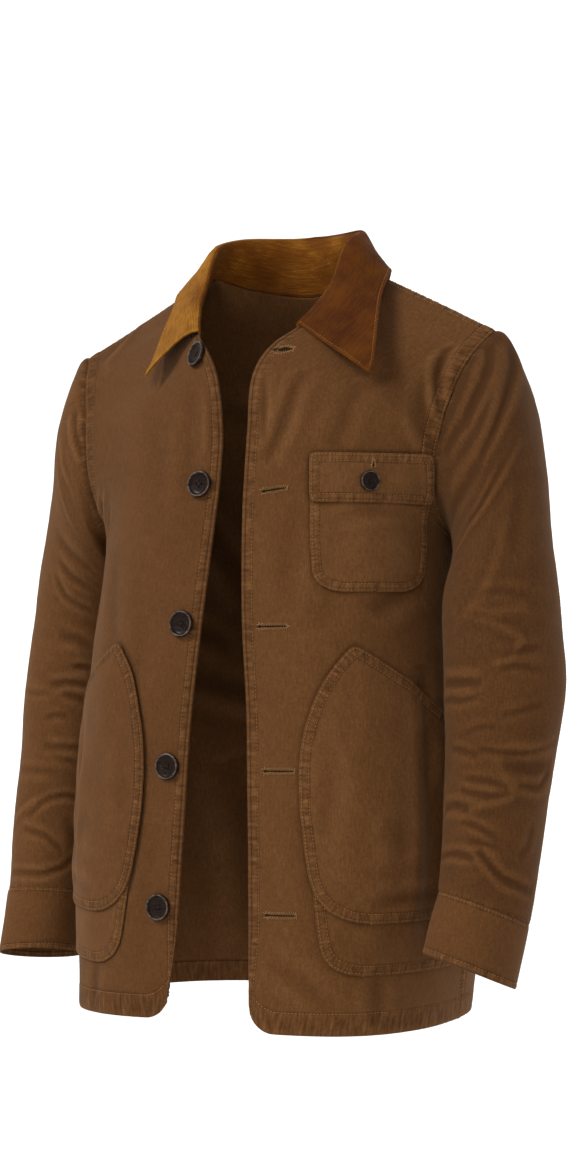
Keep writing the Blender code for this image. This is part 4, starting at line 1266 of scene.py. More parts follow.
def buildBack():
    look = backLook
    rows, total, under, above = rowPlaces(armholeBack, look)
    halves = [backPoints(mirror, shares(look["steps"]), rows / total) for mirror in (-1, 1)]
    dense = np.concatenate((halves[0][:, :0:-1], halves[1]), axis=1)
    centre = np.array([knotsOf(line)[look["steps"]] for line in dense])[:, None]
    middle = knotsOf(dense[len(rows) // 2])[-1]
    marks = (*look["armRows"], look["pleat"])
    places, *counts = ladder(middle, look["across"], marks, marks)
    points, across = alongRows(dense, places, counts, middle)
    reach = cloth["lapReach"] * (1 - above) + look["lapPast"]
    points = grow(grow(points, "first", reach), "last", reach)
    length = across[:, -1:]
    across = np.concatenate((-reach, -reach / 2, across, length + reach / 2, length + reach), axis=1)
    piece = measures(points, -1)
    place = np.broadcast_to(rows[:, None], across.shape)
    piece.update(fromLeft=across, side=length - across)
    z = points[..., 2]
    signed = across - centre
    relief = wavy(folds(signed, z, backFolds), signed, z, look, 41)
    relief += border(piece["fromHem"], signed, look["hem"], 43, **hemBorder)
    for edge, seed in ((across, 45), (piece["side"], 47)):
        relief += above * border(np.maximum(edge, 0), place, look["armRows"], seed, **armBorder)
        relief -= (1 - above) * cloth["lapDip"] * (1 - smoothStep(edge / cloth["lapFade"]))
        pleat = edge - look["pleat"]
        folded = look["pleatStep"] * smoothStep(pleat / look["pleatEdge"] + 0.5)
        folded *= 1 - smoothStep(pleat / look["pleatFlat"])
        folded -= look["pleatDitch"] * bell(pleat + look["pleatEdge"], look["pleatDitchWidth"])
        relief += folded * smoothStep((z - look["pleatEnd"]) / look["pleatFade"])
    corner = np.where(signed > 0, fronts[1]["base"][-1, 0, 0], -fronts[-1]["base"][-1, 0, 0])
    neck = smoothStep((np.abs(points[-1:, :, 0]) - corner) / look["corner"])
    relief = relief * (1 - neck * (1 - smoothStep(piece["fromTop"] / look["calm"])))
    relief -= neck * cloth["lapDip"] * (1 - smoothStep(piece["fromTop"] / cloth["lapFade"]))
    piece["points"] = points + piece["normals"] * relief[..., None]
    uv = np.stack((signed, piece["fromHem"]), axis=-1)
    seam = seamField(across.shape, (signed, piece["fromHem"], look["hem"]),
                     (place, across + (1 - above), look["armRows"]),
                     (place, piece["side"] + (1 - above), look["armRows"]))
    tone = toneOf(relief) + wornEdge(piece["fromHem"], look["hem"])
    tucked = underShoulder(piece["points"][-1], neck[-1])
    more = [np.concatenate((field, field[-1:], field[-1:])) for field in (uv, seam, tone)]
    points = np.concatenate((piece["points"], tucked))
    piece["item"] = clothPiece("back", points, *more, cloth["wall"], canvas)
    high = rows > under
    runs = sewn(piece, "fromHem", look["hem"])
    for mark in look["armRows"]:
        runs += sewn(piece, "fromLeft", (mark,), high) + sewn(piece, "side", (mark,), high)
    threadPiece("stitching_back", runs, stitching)
    return piece


back = buildBack()
print("back made")


# Sleeves: two halves to each, with folds given by turn (degrees, 0 outside, 90 in
# front, 180 at the body) and distance from the armhole.
sleeveLook = dict(around=0.0027, down=0.0029, seamRow=0.002, capPucker=0.00030, capWave=0.012,
                  capReach=0.010, swell=(0.0005, 0.080), ripple=(0.00007, 0.024), calmTop=0.006,
                  calmPast=0.001, calmLow=0.007, dip=0.0009, dipPast=0.0005, dipFade=0.0035, dipUnder=0.7,
                  tuckBefore=0.002, tuckFade=0.003, sideBand=0.004, capBand=0.005, cuffBand=0.002,
                  border=dict(lift=0.0005, pucker=0.00015), paintedShadeReach=0.12,
                  paintedLightShade={1: (-1.0, -0.5), -1: (0.0, 0.0)})
sleeveFolds = {
    -1: [
        (200, 0.040, 250, 0.075, 0.006, 0.0100, 0.0030),
        (215, 0.235, 300, 0.262, -0.006, 0.0095, 0.0034),
        (190, 0.262, 270, 0.300, 0.004, 0.0090, 0.0030),
        (230, 0.310, 310, 0.296, 0.004, 0.0100, 0.0020),
        (185, 0.350, 260, 0.380, 0.004, 0.0080, 0.0026),
        (240, 0.410, 320, 0.430, -0.004, 0.0070, 0.0024),
        (175, 0.190, 235, 0.205, 0.004, 0.0100, 0.0022),
        (290, 0.120, 330, 0.190, 0.004, 0.0120, 0.0016),
    ],
    1: [
        (200, 0.030, 245, 0.070, 0.006, 0.0100, 0.0032),
        (300, 0.020, 330, 0.060, -0.003, 0.0080, 0.0016),
        (210, 0.225, 300, 0.250, -0.006, 0.0095, 0.0036),
        (185, 0.255, 265, 0.290, 0.004, 0.0090, 0.0030),
        (240, 0.300, 315, 0.285, 0.004, 0.0100, 0.0022),
        (190, 0.335, 255, 0.365, 0.004, 0.0080, 0.0026),
        (245, 0.395, 325, 0.410, -0.004, 0.0070, 0.0024),
        (180, 0.180, 230, 0.200, 0.004, 0.0100, 0.0020),
    ],
}
# Those in front: width, depth, then turn and distance of each spot on the way.
sleeveCreases = {
    -1: [
        (0.0032, 0.0024, 56, 0.013, 73, 0.013, 93, 0.002),
        (0.0032, -0.0012, 56, 0.022, 76, 0.016, 96, 0.008),
        (0.0032, -0.0012, 59, 0.040, 79, 0.042, 107, 0.034),
        (0.0032, -0.0010, 67, 0.057, 90, 0.066, 113, 0.071),
        (0.0063, 0.0012, 73, 0.106, 101, 0.103, 127, 0.097),
        (0.0045, 0.0012, 79, 0.123, 101, 0.129, 127, 0.129),
        (0.0040, 0.0014, 76, 0.138, 93, 0.155, 124, 0.161),
        (0.0063, 0.0014, 87, 0.201, 110, 0.201, 127, 0.210),
        (0.0035, 0.0022, 110, 0.236, 118, 0.233, 130, 0.233),
        (0.0045, 0.0024, 87, 0.259, 107, 0.254, 132, 0.254),
        (0.0045, 0.0016, 101, 0.265, 118, 0.268, 132, 0.274),
        (0.0032, 0.0008, 45, 0.268, 65, 0.271, 90, 0.268),
        (0.0032, 0.0010, 82, 0.297, 98, 0.291, 113, 0.291),
        (0.0043, 0.0014, 84, 0.326, 110, 0.326, 138, 0.323),
        (0.0032, 0.0010, 98, 0.334, 115, 0.337, 132, 0.340),
        (0.0043, 0.0008, 42, 0.352, 79, 0.352, 113, 0.352),
        (0.0032, -0.0016, 39, 0.413, 62, 0.395, 90, 0.378),
        (0.0030, 0.0022, 76, 0.401, 101, 0.381, 124, 0.375, 147, 0.378),
        (0.0032, 0.0012, 67, 0.413, 104, 0.418, 130, 0.433),
        (0.0032, 0.0022, 45, 0.456, 107, 0.459, 135, 0.450, 155, 0.430),
        (0.0063, 0.0010, 127, 0.395, 141, 0.415, 147, 0.430),
    ],
    1: [
        (0.0036, 0.0030, 16, 0.008, 33, 0.022, 53, 0.025, 70, 0.025, 98, 0.011),
        (0.0045, 0.0030, -1, 0.019, 11, 0.034, 33, 0.045, 56, 0.054, 76, 0.057),
        (0.0078, 0.0014, 73, 0.063, 93, 0.054, 113, 0.045, 135, 0.037),
        (0.0040, 0.0012, 50, 0.083, 67, 0.091, 82, 0.097, 101, 0.094),
        (0.0031, -0.0016, 25, 0.077, 48, 0.089, 73, 0.100, 98, 0.106, 124, 0.112),
        (0.0073, -0.0013, 33, 0.037, 59, 0.048, 84, 0.045, 113, 0.034),
        (0.0056, -0.0011, 28, 0.008, 53, 0.019, 76, 0.016),
        (0.0062, -0.0010, 56, 0.123, 67, 0.152, 87, 0.184, 110, 0.195),
        (0.0078, 0.0009, 33, 0.097, 45, 0.129, 53, 0.158),
        (0.0034, -0.0009, 107, 0.184, 76, 0.198, 39, 0.198),
        (0.0034, 0.0007, 90, 0.178, 67, 0.181, 39, 0.190),
        (0.0034, -0.0012, 110, 0.193, 76, 0.207, 50, 0.221, 62, 0.236, 87, 0.242),
        (0.0029, 0.0010, 73, 0.236, 53, 0.230, 31, 0.227),
        (0.0050, 0.0028, 144, 0.250, 115, 0.253, 90, 0.256),
        (0.0038, 0.0015, 149, 0.265, 113, 0.268, 90, 0.265),
        (0.0029, 0.0008, 76, 0.245, 59, 0.242, 28, 0.247),
        (0.0029, 0.0008, 76, 0.285, 53, 0.279, 28, 0.273),
        (0.0027, 0.0007, 107, 0.299, 90, 0.294, 73, 0.294),
        (0.0025, 0.0015, 96, 0.314, 67, 0.317, 36, 0.314, -3, 0.302),
        (0.0090, 0.0025, 67, 0.325, 39, 0.328, -1, 0.325),
        (0.0031, 0.0021, 48, 0.343, 19, 0.343, 2, 0.328),
        (0.0031, -0.0016, 70, 0.328, 53, 0.343, 50, 0.354, 73, 0.363, 101, 0.374),
        (0.0031, 0.0012, 130, 0.314, 107, 0.317, 90, 0.322),
        (0.0031, 0.0013, 107, 0.343, 79, 0.343, 56, 0.348),
        (0.0031, 0.0013, 110, 0.354, 79, 0.357, 53, 0.354),
        (0.0045, 0.0027, 138, 0.372, 115, 0.369, 96, 0.372),
        (0.0031, 0.0014, 107, 0.383, 84, 0.386, 59, 0.395),
        (0.0029, 0.0010, 96, 0.400, 73, 0.400, 56, 0.400),
        (0.0036, 0.0027, 84, 0.406, 67, 0.418, 50, 0.426, 2, 0.429),
        (0.0034, -0.0012, 104, 0.403, 79, 0.418, 59, 0.429),
        (0.0031, 0.0023, 149, 0.421, 115, 0.415, 84, 0.415),
        (0.0045, 0.0009, 19, 0.374, 22, 0.392, 33, 0.406),
    ],
}
ringsOf = {1: leftRings, -1: rightRings}


def sleeveRelief(mirror, turn, down, total):
    look = sleeveLook
    x = turn * sleeveCut["girth"]
    scale = sleeveCut["girth"] / 360
    relief = np.zeros(np.broadcast(x, down).shape)
    for lap in (-1, 0, 1):
        place = x + lap * sleeveCut["girth"]
        relief += folds(place, down, sleeveFolds[mirror], scale)
        relief += creases(place, down, sleeveCreases[mirror], scale)
    seed = 61 if mirror > 0 else 71
    radius = sleeveCut["girth"] / (2 * pi)
    for k, around in enumerate((np.cos(2 * pi * turn), np.sin(2 * pi * turn))):
        relief = wavy(relief, radius * around, down, look, seed + k, 4)
    calm = smoothStep((total - down) / look["calmLow"])
    relief *= calm * smoothStep((down + look["calmPast"]) / look["calmTop"])
    cap = np.exp(-np.maximum(down, 0) / look["capReach"]) * (0.5 + 0.5 * np.cos(2 * pi * turn))
    return relief + look["capPucker"] * cap * np.sin(2 * pi * x / look["capWave"])


def buildSleeve(mirror, word, half):
    look = sleeveLook
    rings = ringsOf[mirror]
    total = sleeveKnots(rings)[-1]
    girth = sleeveCut["girth"]
    reach = cloth["lapReach"]
    down = ladder(total, look["down"], (look["seamRow"],), (look["seamRow"],))[0]
    down = np.concatenate(((-reach, -reach / 2), down, (total + reach / 2, total + reach)))
    onTop = half == "front"
    low = sleeveCut["backSeamAt"] - 1 if onTop else sleeveCut["underSeamAt"]
    high = sleeveCut["underSeamAt"] if onTop else sleeveCut["backSeamAt"]
    length = (high - low) * girth
    x = ladder(length, look["around"], (look["seamRow"],), (look["seamRow"],))[0]
    if not onTop:
        x = np.concatenate(((-reach, -reach / 2), x, (length + reach / 2, length + reach)))
    turn = (low + x / girth)[None]
    loop = 0.5 - 0.5 * np.cos(2 * pi * turn)
    tucked = np.where(down[:, None] < 0, down[:, None] * (1 - loop), down[:, None])
    points = np.stack([sleevePoints(mirror, turn[0], tucked[:, k], rings)[:, k]
                       for k in range(len(x))], axis=1)
    piece = measures(points, mirror)
    shape = points.shape[:2]
    turn, along = np.broadcast_arrays(turn, down[:, None])
    first = np.broadcast_to(x, shape)
    piece.update(fromLeft=first, side=length - first)
    relief = sleeveRelief(mirror, turn, along, total)
    sunk = 1 - smoothStep((along + look["dipPast"]) / look["dipFade"])
    relief -= look["dip"] * sunk * (1 - look["dipUnder"] * loop)
    relief -= cloth["lapDip"] * smoothStep((along - total + look["tuckBefore"]) / look["tuckFade"])
    edge = np.minimum(first, length - first)
    if onTop:
        relief = relief + border(edge, along, (look["seamRow"],), 81, **look["border"])
    else:
        relief = relief - cloth["lapDip"] * (1 - smoothStep(edge / cloth["lapFade"]))
    piece["points"] = points + piece["normals"] * relief[..., None]
    uv = np.stack((turn * girth, -along), axis=-1)
    strong = seamField(shape, (along, edge + (not onTop), (look["sideBand"],)),
                       (turn * girth, np.abs(along), (look["capBand"],)),
                       (turn * girth, total - along, (look["cuffBand"],)))
    # Painted shade on the left sleeve, all over and more towards the armhole.
    paintedLightShade, upper = look["paintedLightShade"][mirror]
    tone = toneOf(relief) + wornEdge(edge + (not onTop), (look["seamRow"],))
    tone = tone + paintedLightShade + upper * np.exp(-np.maximum(along, 0) / look["paintedShadeReach"])
    piece["item"] = clothPiece("sleeve_" + half + "_" + word, piece["points"], uv, strong, tone,
                               cloth["wall"], canvas)
    if onTop:
        inside = (down > 0) & (down < total)
        marks = (look["seamRow"],)
        runs = sewn(piece, "fromLeft", marks, inside) + sewn(piece, "side", marks, inside)
        threadPiece("stitching_sleeve_" + word, runs, stitching)
    return piece


cuffLook = dict(around=0.0028, down=0.0030, topRow=0.002, hemRow=0.0045, radius=0.042, girth=0.26,
                wave=0.0007, waveLength=0.06, lift=0.0005, gather=0.00018, gathers=26, gatherReach=0.006,
                topBand=0.003, hemBand=0.0055, border=dict(lift=0.0003, pucker=0.0),
                fade={1: -0.4, -1: 0.0})


def cuffPoints(mirror, turn, share):
    seam, wrist = record(ringColumns, ringsOf[mirror][-2:])
    return (ringPoints(seam, mirror, turn) * (1 - share[:, None, None])
            + ringPoints(wrist, mirror, turn) * share[:, None, None])


def buildCuff(mirror, word):
    look = cuffLook
    seam, wrist = record(ringColumns, ringsOf[mirror][-2:])
    height = np.linalg.norm(point(seam) - point(wrist))
    down = ladder(height, look["down"], (look["topRow"],), (look["hemRow"],))[0]
    turn = shares(round(sleeveCut["girth"] / look["around"]))
    points = cuffPoints(mirror, turn, down / height)
    piece = measures(points, mirror, closed=True)
    piece["fromTop"], piece["fromHem"] = piece["fromHem"], piece["fromTop"]
    turn, along = np.broadcast_arrays(turn[None], down[:, None])
    around = 2 * pi * turn
    seed = 91 if mirror > 0 else 95
    ringed = [swell(look["radius"] * wave(around), along, look["waveLength"], seed + k)
              for k, wave in enumerate((np.cos, np.sin))]
    relief = look["wave"] * sum(ringed) / 2 + look["lift"]
    relief += border(along, turn * 0, (look["topRow"],), seed + 5, **look["border"])
    relief += border(height - along, turn * 0, (look["hemRow"],), seed + 7, **look["border"])
    gathers = look["gather"] * np.sin(look["gathers"] * around + 2 * np.sin(3 * around))
    relief += gathers * bell(height - along, look["gatherReach"])
    piece["points"] = points + piece["normals"] * relief[..., None]
    x = turn * look["girth"]
    strong = seamField(along.shape, (x, along, (look["topBand"],)), (x, height - along, (look["hemBand"],)))
    tone = toneOf(relief) + wornEdge(along, (look["topRow"],)) + wornEdge(height - along, (look["hemRow"],))
    # fade darkens the left cuff: painted shade, as on its sleeve.
    tone = tone + look["fade"][mirror]
    piece["item"] = clothPiece("cuff_" + word, piece["points"], np.stack((x, -along), axis=-1), strong,
                               tone, cloth["wall"], canvas, closed=True)
    runs = sewn(piece, "fromTop", (look["topRow"],)) + sewn(piece, "fromHem", (look["hemRow"],))
    threadPiece("stitching_cuff_" + word, runs, stitching)
    return piece


for mirror, word in sides:
    for half in ("back", "front"):
        buildSleeve(mirror, word, half)
    buildCuff(mirror, word)
print("sleeves and cuffs made")


# Collar: a stand and a fall in fine corduroy.
collarLook = dict(around=0.0028, down=0.0026, row=0.003, rimSteps=200, widthAt=0.85, widthSteps=60,
                  swell=0.0006, swellLength=0.07, calm=0.01, band=0.004, standRows=14, standColumns=80,
                  standSwell=0.0003, standSwellLength=0.05, paintedLightShade=0.75, paintedLightFrom=-0.06, paintedLightWidth=0.12,
                  toneShare=0.5, edgeTone=0.4, border=dict(lift=0.0004, ditch=0.0005, pucker=0.00012))
collarFolds = [
    (-0.215, 0.020, -0.090, 0.026, 0.004, 0.010, 0.0012),
    (-0.160, 0.048, -0.110, 0.020, -0.004, 0.007, 0.0010),
    (0.100, 0.015, 0.210, 0.036, 0.004, 0.010, 0.0009),
    (0.075, 0.040, 0.130, 0.050, -0.002, 0.008, -0.0008),
    (-0.040, 0.030, 0.050, 0.034, 0.003, 0.014, 0.0010),
]


def bothSides(make, along, share):
    return np.concatenate((make(-1, along, share)[:, :0:-1], make(1, along, share)), axis=1)


def buildFall():
    look = collarLook
    rim = fallPoints(1, shares(look["rimSteps"]), np.ones(1))[0]
    length = knotsOf(rim)[-1]
    places = ladder(length, look["around"], (), (look["row"],))[0]
    along = np.interp(places, knotsOf(rim), shares(look["rimSteps"]))
    width = knotsOf(fallPoints(1, np.array((look["widthAt"],)), shares(look["widthSteps"]))[:, 0])[-1]
    down = ladder(width, look["down"], (), (look["row"],))[0]
    points = bothSides(fallPoints, along, down / width)
    piece = measures(points, 1)
    piece["fromTop"], piece["fromHem"] = piece["fromHem"], piece["fromTop"]
    piece["half"] = cloth["collarWall"] / 2
    run = runsOf(points)
    piece.update(fromLeft=run, side=run[:, -1:] - run)
    signed = run - run[:, -1:] / 2
    edge = np.minimum(np.minimum(run, run[:, -1:] - run), piece["fromHem"])
    relief = folds(signed, piece["fromTop"], collarFolds)
    relief = relief + look["swell"] * swell(signed, piece["fromTop"], look["swellLength"], 101)
    relief *= smoothStep(piece["fromTop"] / look["calm"])
    relief += border(edge, signed, (look["row"],), 103, **look["border"])
    piece["points"] = points + piece["normals"] * relief[..., None]
    uv = np.stack((piece["fromTop"], signed), axis=-1)
    # Painted light on the wearer's right leaf and painted shade on the left one.
    paintedLightShade = 1.0 - 2.0 * smoothStep((signed - look["paintedLightFrom"]) / look["paintedLightWidth"])
    tone = toneOf(relief) * look["toneShare"] + look["paintedLightShade"] * paintedLightShade + look["edgeTone"] * wornEdge(edge)
    strong = seamField(signed.shape, (signed, edge, (look["band"],)))
    piece["item"] = clothPiece("collar", piece["points"], uv, strong, tone, cloth["collarWall"], corduroy,
                               "corduroy")
    mark = look["row"]
    columns = (run > mark).all(axis=0) & (run[:, -1:] - run > mark).all(axis=0)
    rows = piece["fromHem"].min(axis=1) > mark
    runs = sewn(piece, "fromHem", (mark,), columns)
    runs += sewn(piece, "fromLeft", (mark,), rows) + sewn(piece, "side", (mark,), rows)
    threadPiece("stitching_collar", runs, stitching)
    return piece


def buildStand():
    look = collarLook
    points = bothSides(standPoints, shares(look["standColumns"]), shares(look["standRows"]))
    piece = measures(points, 1)
    piece["half"] = cloth["collarWall"] / 2
    run = runsOf(points)
    signed = run - run[:, -1:] / 2
    relief = look["standSwell"] * swell(signed, piece["fromHem"], look["standSwellLength"], 111)
    piece["points"] = points + piece["normals"] * relief[..., None]
    uv = np.stack((piece["fromHem"], signed), axis=-1)
    piece["item"] = clothPiece("collar_stand", piece["points"], uv, np.zeros(signed.shape + (3,)),
                               toneOf(relief), cloth["collarWall"], corduroy, "corduroy")
    return piece


fall = buildFall()
stand = buildStand()
print("collar made")


# A line at one distance inside an outline, and its unbroken stretches.
def insetLine(outline, away):
    step = unit(np.gradient(outline, axis=0))
    inner = outline + np.stack((step[:, 1], -step[:, 0]), axis=1) * away
    return inner[toOutline(outline, inner)[0] > away - pocketLook["slack"]]


def splitRuns(line):
    breaks = np.nonzero(np.linalg.norm(np.diff(line, axis=0), axis=1) > pocketLook["gap"])[0] + 1
    return [run for run in np.split(line, breaks) if len(run) > 3]


def buildPocket(name, mirror, table, lift, stitches, slide=0.0, rows=(), seed=0, puff=0.0, above=(),
                fade=0.0):
    look = pocketLook
    net = nets[mirror]
    heights, front, back, outline = outlineOf(table, slide)
    z = heights[0] + ladder(heights[-1] - heights[0], look["step"], stitches, stitches)[0]
    width = (back - front).max()
    u = ladder(width, look["step"], stitches, stitches)[0] / width
    f, b = np.interp(z, heights, front)[:, None], np.interp(z, heights, back)[:, None]
    across = f + (b - f) * u[None]
    height = np.broadcast_to(z[:, None], across.shape)

    def reliefAt(across, height):
        spots = np.stack((np.ravel(across), np.ravel(height)), axis=1)
        away, around = (values.reshape(np.shape(across)) for values in toOutline(outline, spots))
        relief = border(away, around, stitches, seed, lift=look["lift"], pucker=look["pucker"])
        relief += puff * smoothStep(away / look["puffReach"]) + folds(across, height, rows)
        calm = smoothStep(away / look["swellReach"])
        swollen = look["swell"] * swell(across, height, look["swellLength"], seed + 3) * calm
        return relief + swollen, away, around

    relief, away, around = reliefAt(across, height)
    points, normals = onNet(net, across, height, lift + relief)
    piece = dict(points=points, normals=normals, half=cloth["patchWall"] / 2)
    strong = seamField(across.shape, (around, away, stitches))
    # shadeBeside paints the shadow of the pocket above; fade is painted light and shade over the whole
    # piece.
    tone = toneOf(relief) + wornEdge(away, stitches) + shadeBeside(above, across, height) + fade
    piece["item"] = clothPiece(name, points, np.stack((across, height), axis=-1), strong, tone,
                               cloth["patchWall"], canvas)
    runs = []
    for mark in stitches:
        for line in splitRuns(insetLine(outline, mark)):
            extra = reliefAt(line[:, 0], line[:, 1])[0]
            runs.append(stitchRow(*onNet(net, line[:, 0], line[:, 1], lift + extra + piece["half"])))
    threadPiece("stitching_" + name, runs, stitching)
    return piece


hipRows = (0.0018, 0.0085)
chestRows = (0.0018, 0.0075)
for mirror, word in sides:
    slide = pocketLook["slide"] if mirror < 0 else 0.0
    buildPocket(
        "hip_under_" + word, mirror, hipPatch, pocketLifts["first"], hipRows, slide, (), 121 + mirror,
        above=outlinesOn[mirror][:1])
    hipFolds = [
        (0.120 + slide, -0.520, 0.150 + slide, -0.545, 0.004, 0.012, 0.0012),
        (0.075 + slide, -0.440, 0.070 + slide, -0.530, 0.003, 0.010, 0.0010),
        (0.165 + slide, -0.430, 0.180 + slide, -0.560, 0.006, 0.014, 0.0014),
        (0.110 + slide, -0.590, 0.190 + slide, -0.585, 0.003, 0.007, 0.0012),
    ]
    buildPocket(
        "hip_pocket_" + word, mirror, hipPocket, pocketLifts["second"], hipRows, slide, hipFolds,
        131 + mirror, pocketLook["puff"], fade=pocketLook["fade"][mirror])
chestFolds = [(0.085, -0.240, 0.160, -0.236, 0.002, 0.006, 0.0008)]
buildPocket(
    "chest_pocket", 1, chestPocket, pocketLifts["first"], chestRows, 0.0, chestFolds, 141,
    pocketLook["chestPuff"], outlinesOn[1][3:], pocketLook["fade"]["chest"])
buildPocket("chest_flap", 1, chestFlap, pocketLifts["flap"], chestRows, 0.0, (), 151,
                             fade=pocketLook["fade"]["chest"])
print("pockets made")


# Buttons: turned with a raised rim and a shallow dish, four holes and crossed thread.
buttonLook = dict(radius=0.0125, small=0.0096, height=0.0038, turns=64, holes=0.085, spread=0.20,
                  rimAt=0.89, rimWidth=0.06, twist=0.35, smallTwist=0.1, lift=0.0017, dish=0.43,
                  strand=0.00038, strandSides=6, strandGap=0.9, below=-0.0016)
# One strand over two holes: share of the way across, height over the dish.
strandLine = [(-1.0, 0.0), (-1.0, -0.0004), (-0.75, 0.0003), (0.0, 0.0006), (0.75, 0.0003), (1.0, -0.0004),
              (1.0, 0.0)]
# Half the outline of a button: share of its radius, share of its height.
buttonProfile = [(0.0, 0.0), (0.86, 0.0), (0.95, 0.10), (1.0, 0.32), (1.0, 0.62), (0.985, 0.82),
                 (0.95, 0.95), (0.90, 1.0), (0.85, 0.95), (0.80, 0.78), (0.76, 0.56), (0.72, 0.46),
                 (0.45, 0.42), (0.0, 0.40)]
# Places are (height, distance from the front edge).
buttonRows = [(-0.088, 0.014), (-0.210, 0.020), (-0.338, 0.020), (-0.468, 0.020), (-0.596, 0.020)]
flapButton = (-0.208, 0.116)


def holeCutter(radius):
    work = bmesh.new()
    across = radius * buttonLook["spread"]
    drill = radius * buttonLook["holes"]
    for corner in range(4):
        angle = pi / 4 + corner * pi / 2
        offset = Matrix.Translation((cos(angle) * across, sin(angle) * across, 0))
        bmesh.ops.create_cone(work, cap_ends=True, segments=16, radius1=drill, radius2=drill,
                              depth=buttonLook["height"] * 4, matrix=offset)
    return placed("holes", toMesh(work, "holes"))


# One button, drilled at the origin and then set on the cloth in its mesh.
def makeButton(name, place, normal, radius, twist):
    line = [(share * radius, level * buttonLook["height"]) for share, level in buttonProfile]
    blank = placed(name + "_blank", spun(name + "_blank", line, buttonLook["turns"], 1e-6))
    cutter = holeCutter(radius)
    drill = blank.modifiers.new("Holes", "BOOLEAN")
    drill.object = cutter
    drill.solver = "EXACT"
    drilled = bpy.data.meshes.new_from_object(blank.evaluated_get(bpy.context.evaluated_depsgraph_get()))
    bpy.data.objects.remove(blank)
    bpy.data.objects.remove(cutter)
    spots = np.empty(len(drilled.vertices) * 3)
    drilled.vertices.foreach_get("co", spots)
    out = np.hypot(spots[::3], spots[1::3]) / radius
    onTop = spots[2::3] > 0.5 * buttonLook["height"]
    # The rim attribute marks the top of the rim for a painted highlight.
    rim = bell(out - buttonLook["rimAt"], buttonLook["rimWidth"]) * onTop
    drilled.attributes.new("rim", "FLOAT", "POINT").data.foreach_set("value", rim)
    facing = Vector(normal).to_track_quat("Z", "Y").to_matrix().to_4x4()
    facing = Matrix.Translation(Vector(place)) @ facing @ Matrix.Rotation(twist, 4, "Z")
    drilled.transform(facing)
    drilled.name = name + "_turned"
    item = finished(name + "_turned", drilled, horn)
    drilled.set_sharp_from_angle(angle=radians(40))
    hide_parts(name)
    return facing


def crossedThread(facing, radius):
    across = radius * buttonLook["spread"]
    reach, rise = np.array(strandLine).T * ((across,), (1.0,))
    rise = rise + buttonLook["height"] * buttonLook["dish"]
    rise[[0, -1]] = buttonLook["below"]  # the ends go down through the holes
    strand = buttonLook["strand"]
    tubes = []
    for turn in (pi / 4, -pi / 4):
        ahead = np.array((cos(turn), sin(turn), 0.0))
        side = np.array((-sin(turn), cos(turn), 0.0))
        for offset in (-1, 1):
            apart = side * offset * strand * buttonLook["strandGap"]
            line = reach[:, None] * ahead + apart + rise[:, None] * upward
            up = unit(np.broadcast_to(upward, line.shape) + reach[:, None] * ahead / across)
            points = tube(line, np.broadcast_to(side, line.shape), up, strand, buttonLook["strandSides"])
            flat = np.concatenate((points, np.ones(points.shape[:2] + (1,))), axis=-1)
            tubes.append((flat @ np.array(facing).T)[..., :3])
    return tubes


strands = []
for number, (height, inset) in enumerate(buttonRows, 1):
    place, normal = onNet(nets[-1], np.array(inset), np.array(height), buttonLook["lift"])
    twist = buttonLook["twist"] * number
    facing = makeButton("button_" + str(number), place, normal, buttonLook["radius"], twist)
    strands += crossedThread(facing, buttonLook["radius"])
flapFace = pocketLifts["flap"] + cloth["patchWall"] / 2
place, normal = onNet(nets[1], np.array(flapButton[1]), np.array(flapButton[0]), flapFace + cloth["layGap"])
facing = makeButton("button_pocket", place, normal, buttonLook["small"], buttonLook["smallTwist"])
strands += crossedThread(facing, buttonLook["small"])
darkThread = threadMaterial("dark thread", darkThreadLook)
threadPiece("button_threads", strands, darkThread)
print("buttons made")


# Buttonholes on the left front: a cut with an eyelet at its front end and close
# stitches round it, each from (distance, height) to (distance, height), then its gape.
holeLook = dict(cut=0.00050, eyelet=0.0018, eyeletAt=0.0016, eyeletWidth=0.0013, wide=0.0027, near=0.0002,
                pitch=0.00080, strand=0.00045, sides=4, rise=0.00022, cutRise=0.00025, steps=40, blunt=10,
                around=12, smallTrim=0.6)
holeRows = [
    (0.0063, -0.0867, 0.0212, -0.0862, 0.0015),
    (0.0182, -0.2174, 0.0422, -0.2141, 0.0003),
    (0.0155, -0.3400, 0.0442, -0.3395, 0.0002),
    (0.0159, -0.4706, 0.0452, -0.4702, 0.0002),
    (0.0163, -0.6003, 0.0460, -0.6000, 0.0002),
]
flapHole = (0.1192, -0.1955, 0.1192, -0.1885, 0.0)


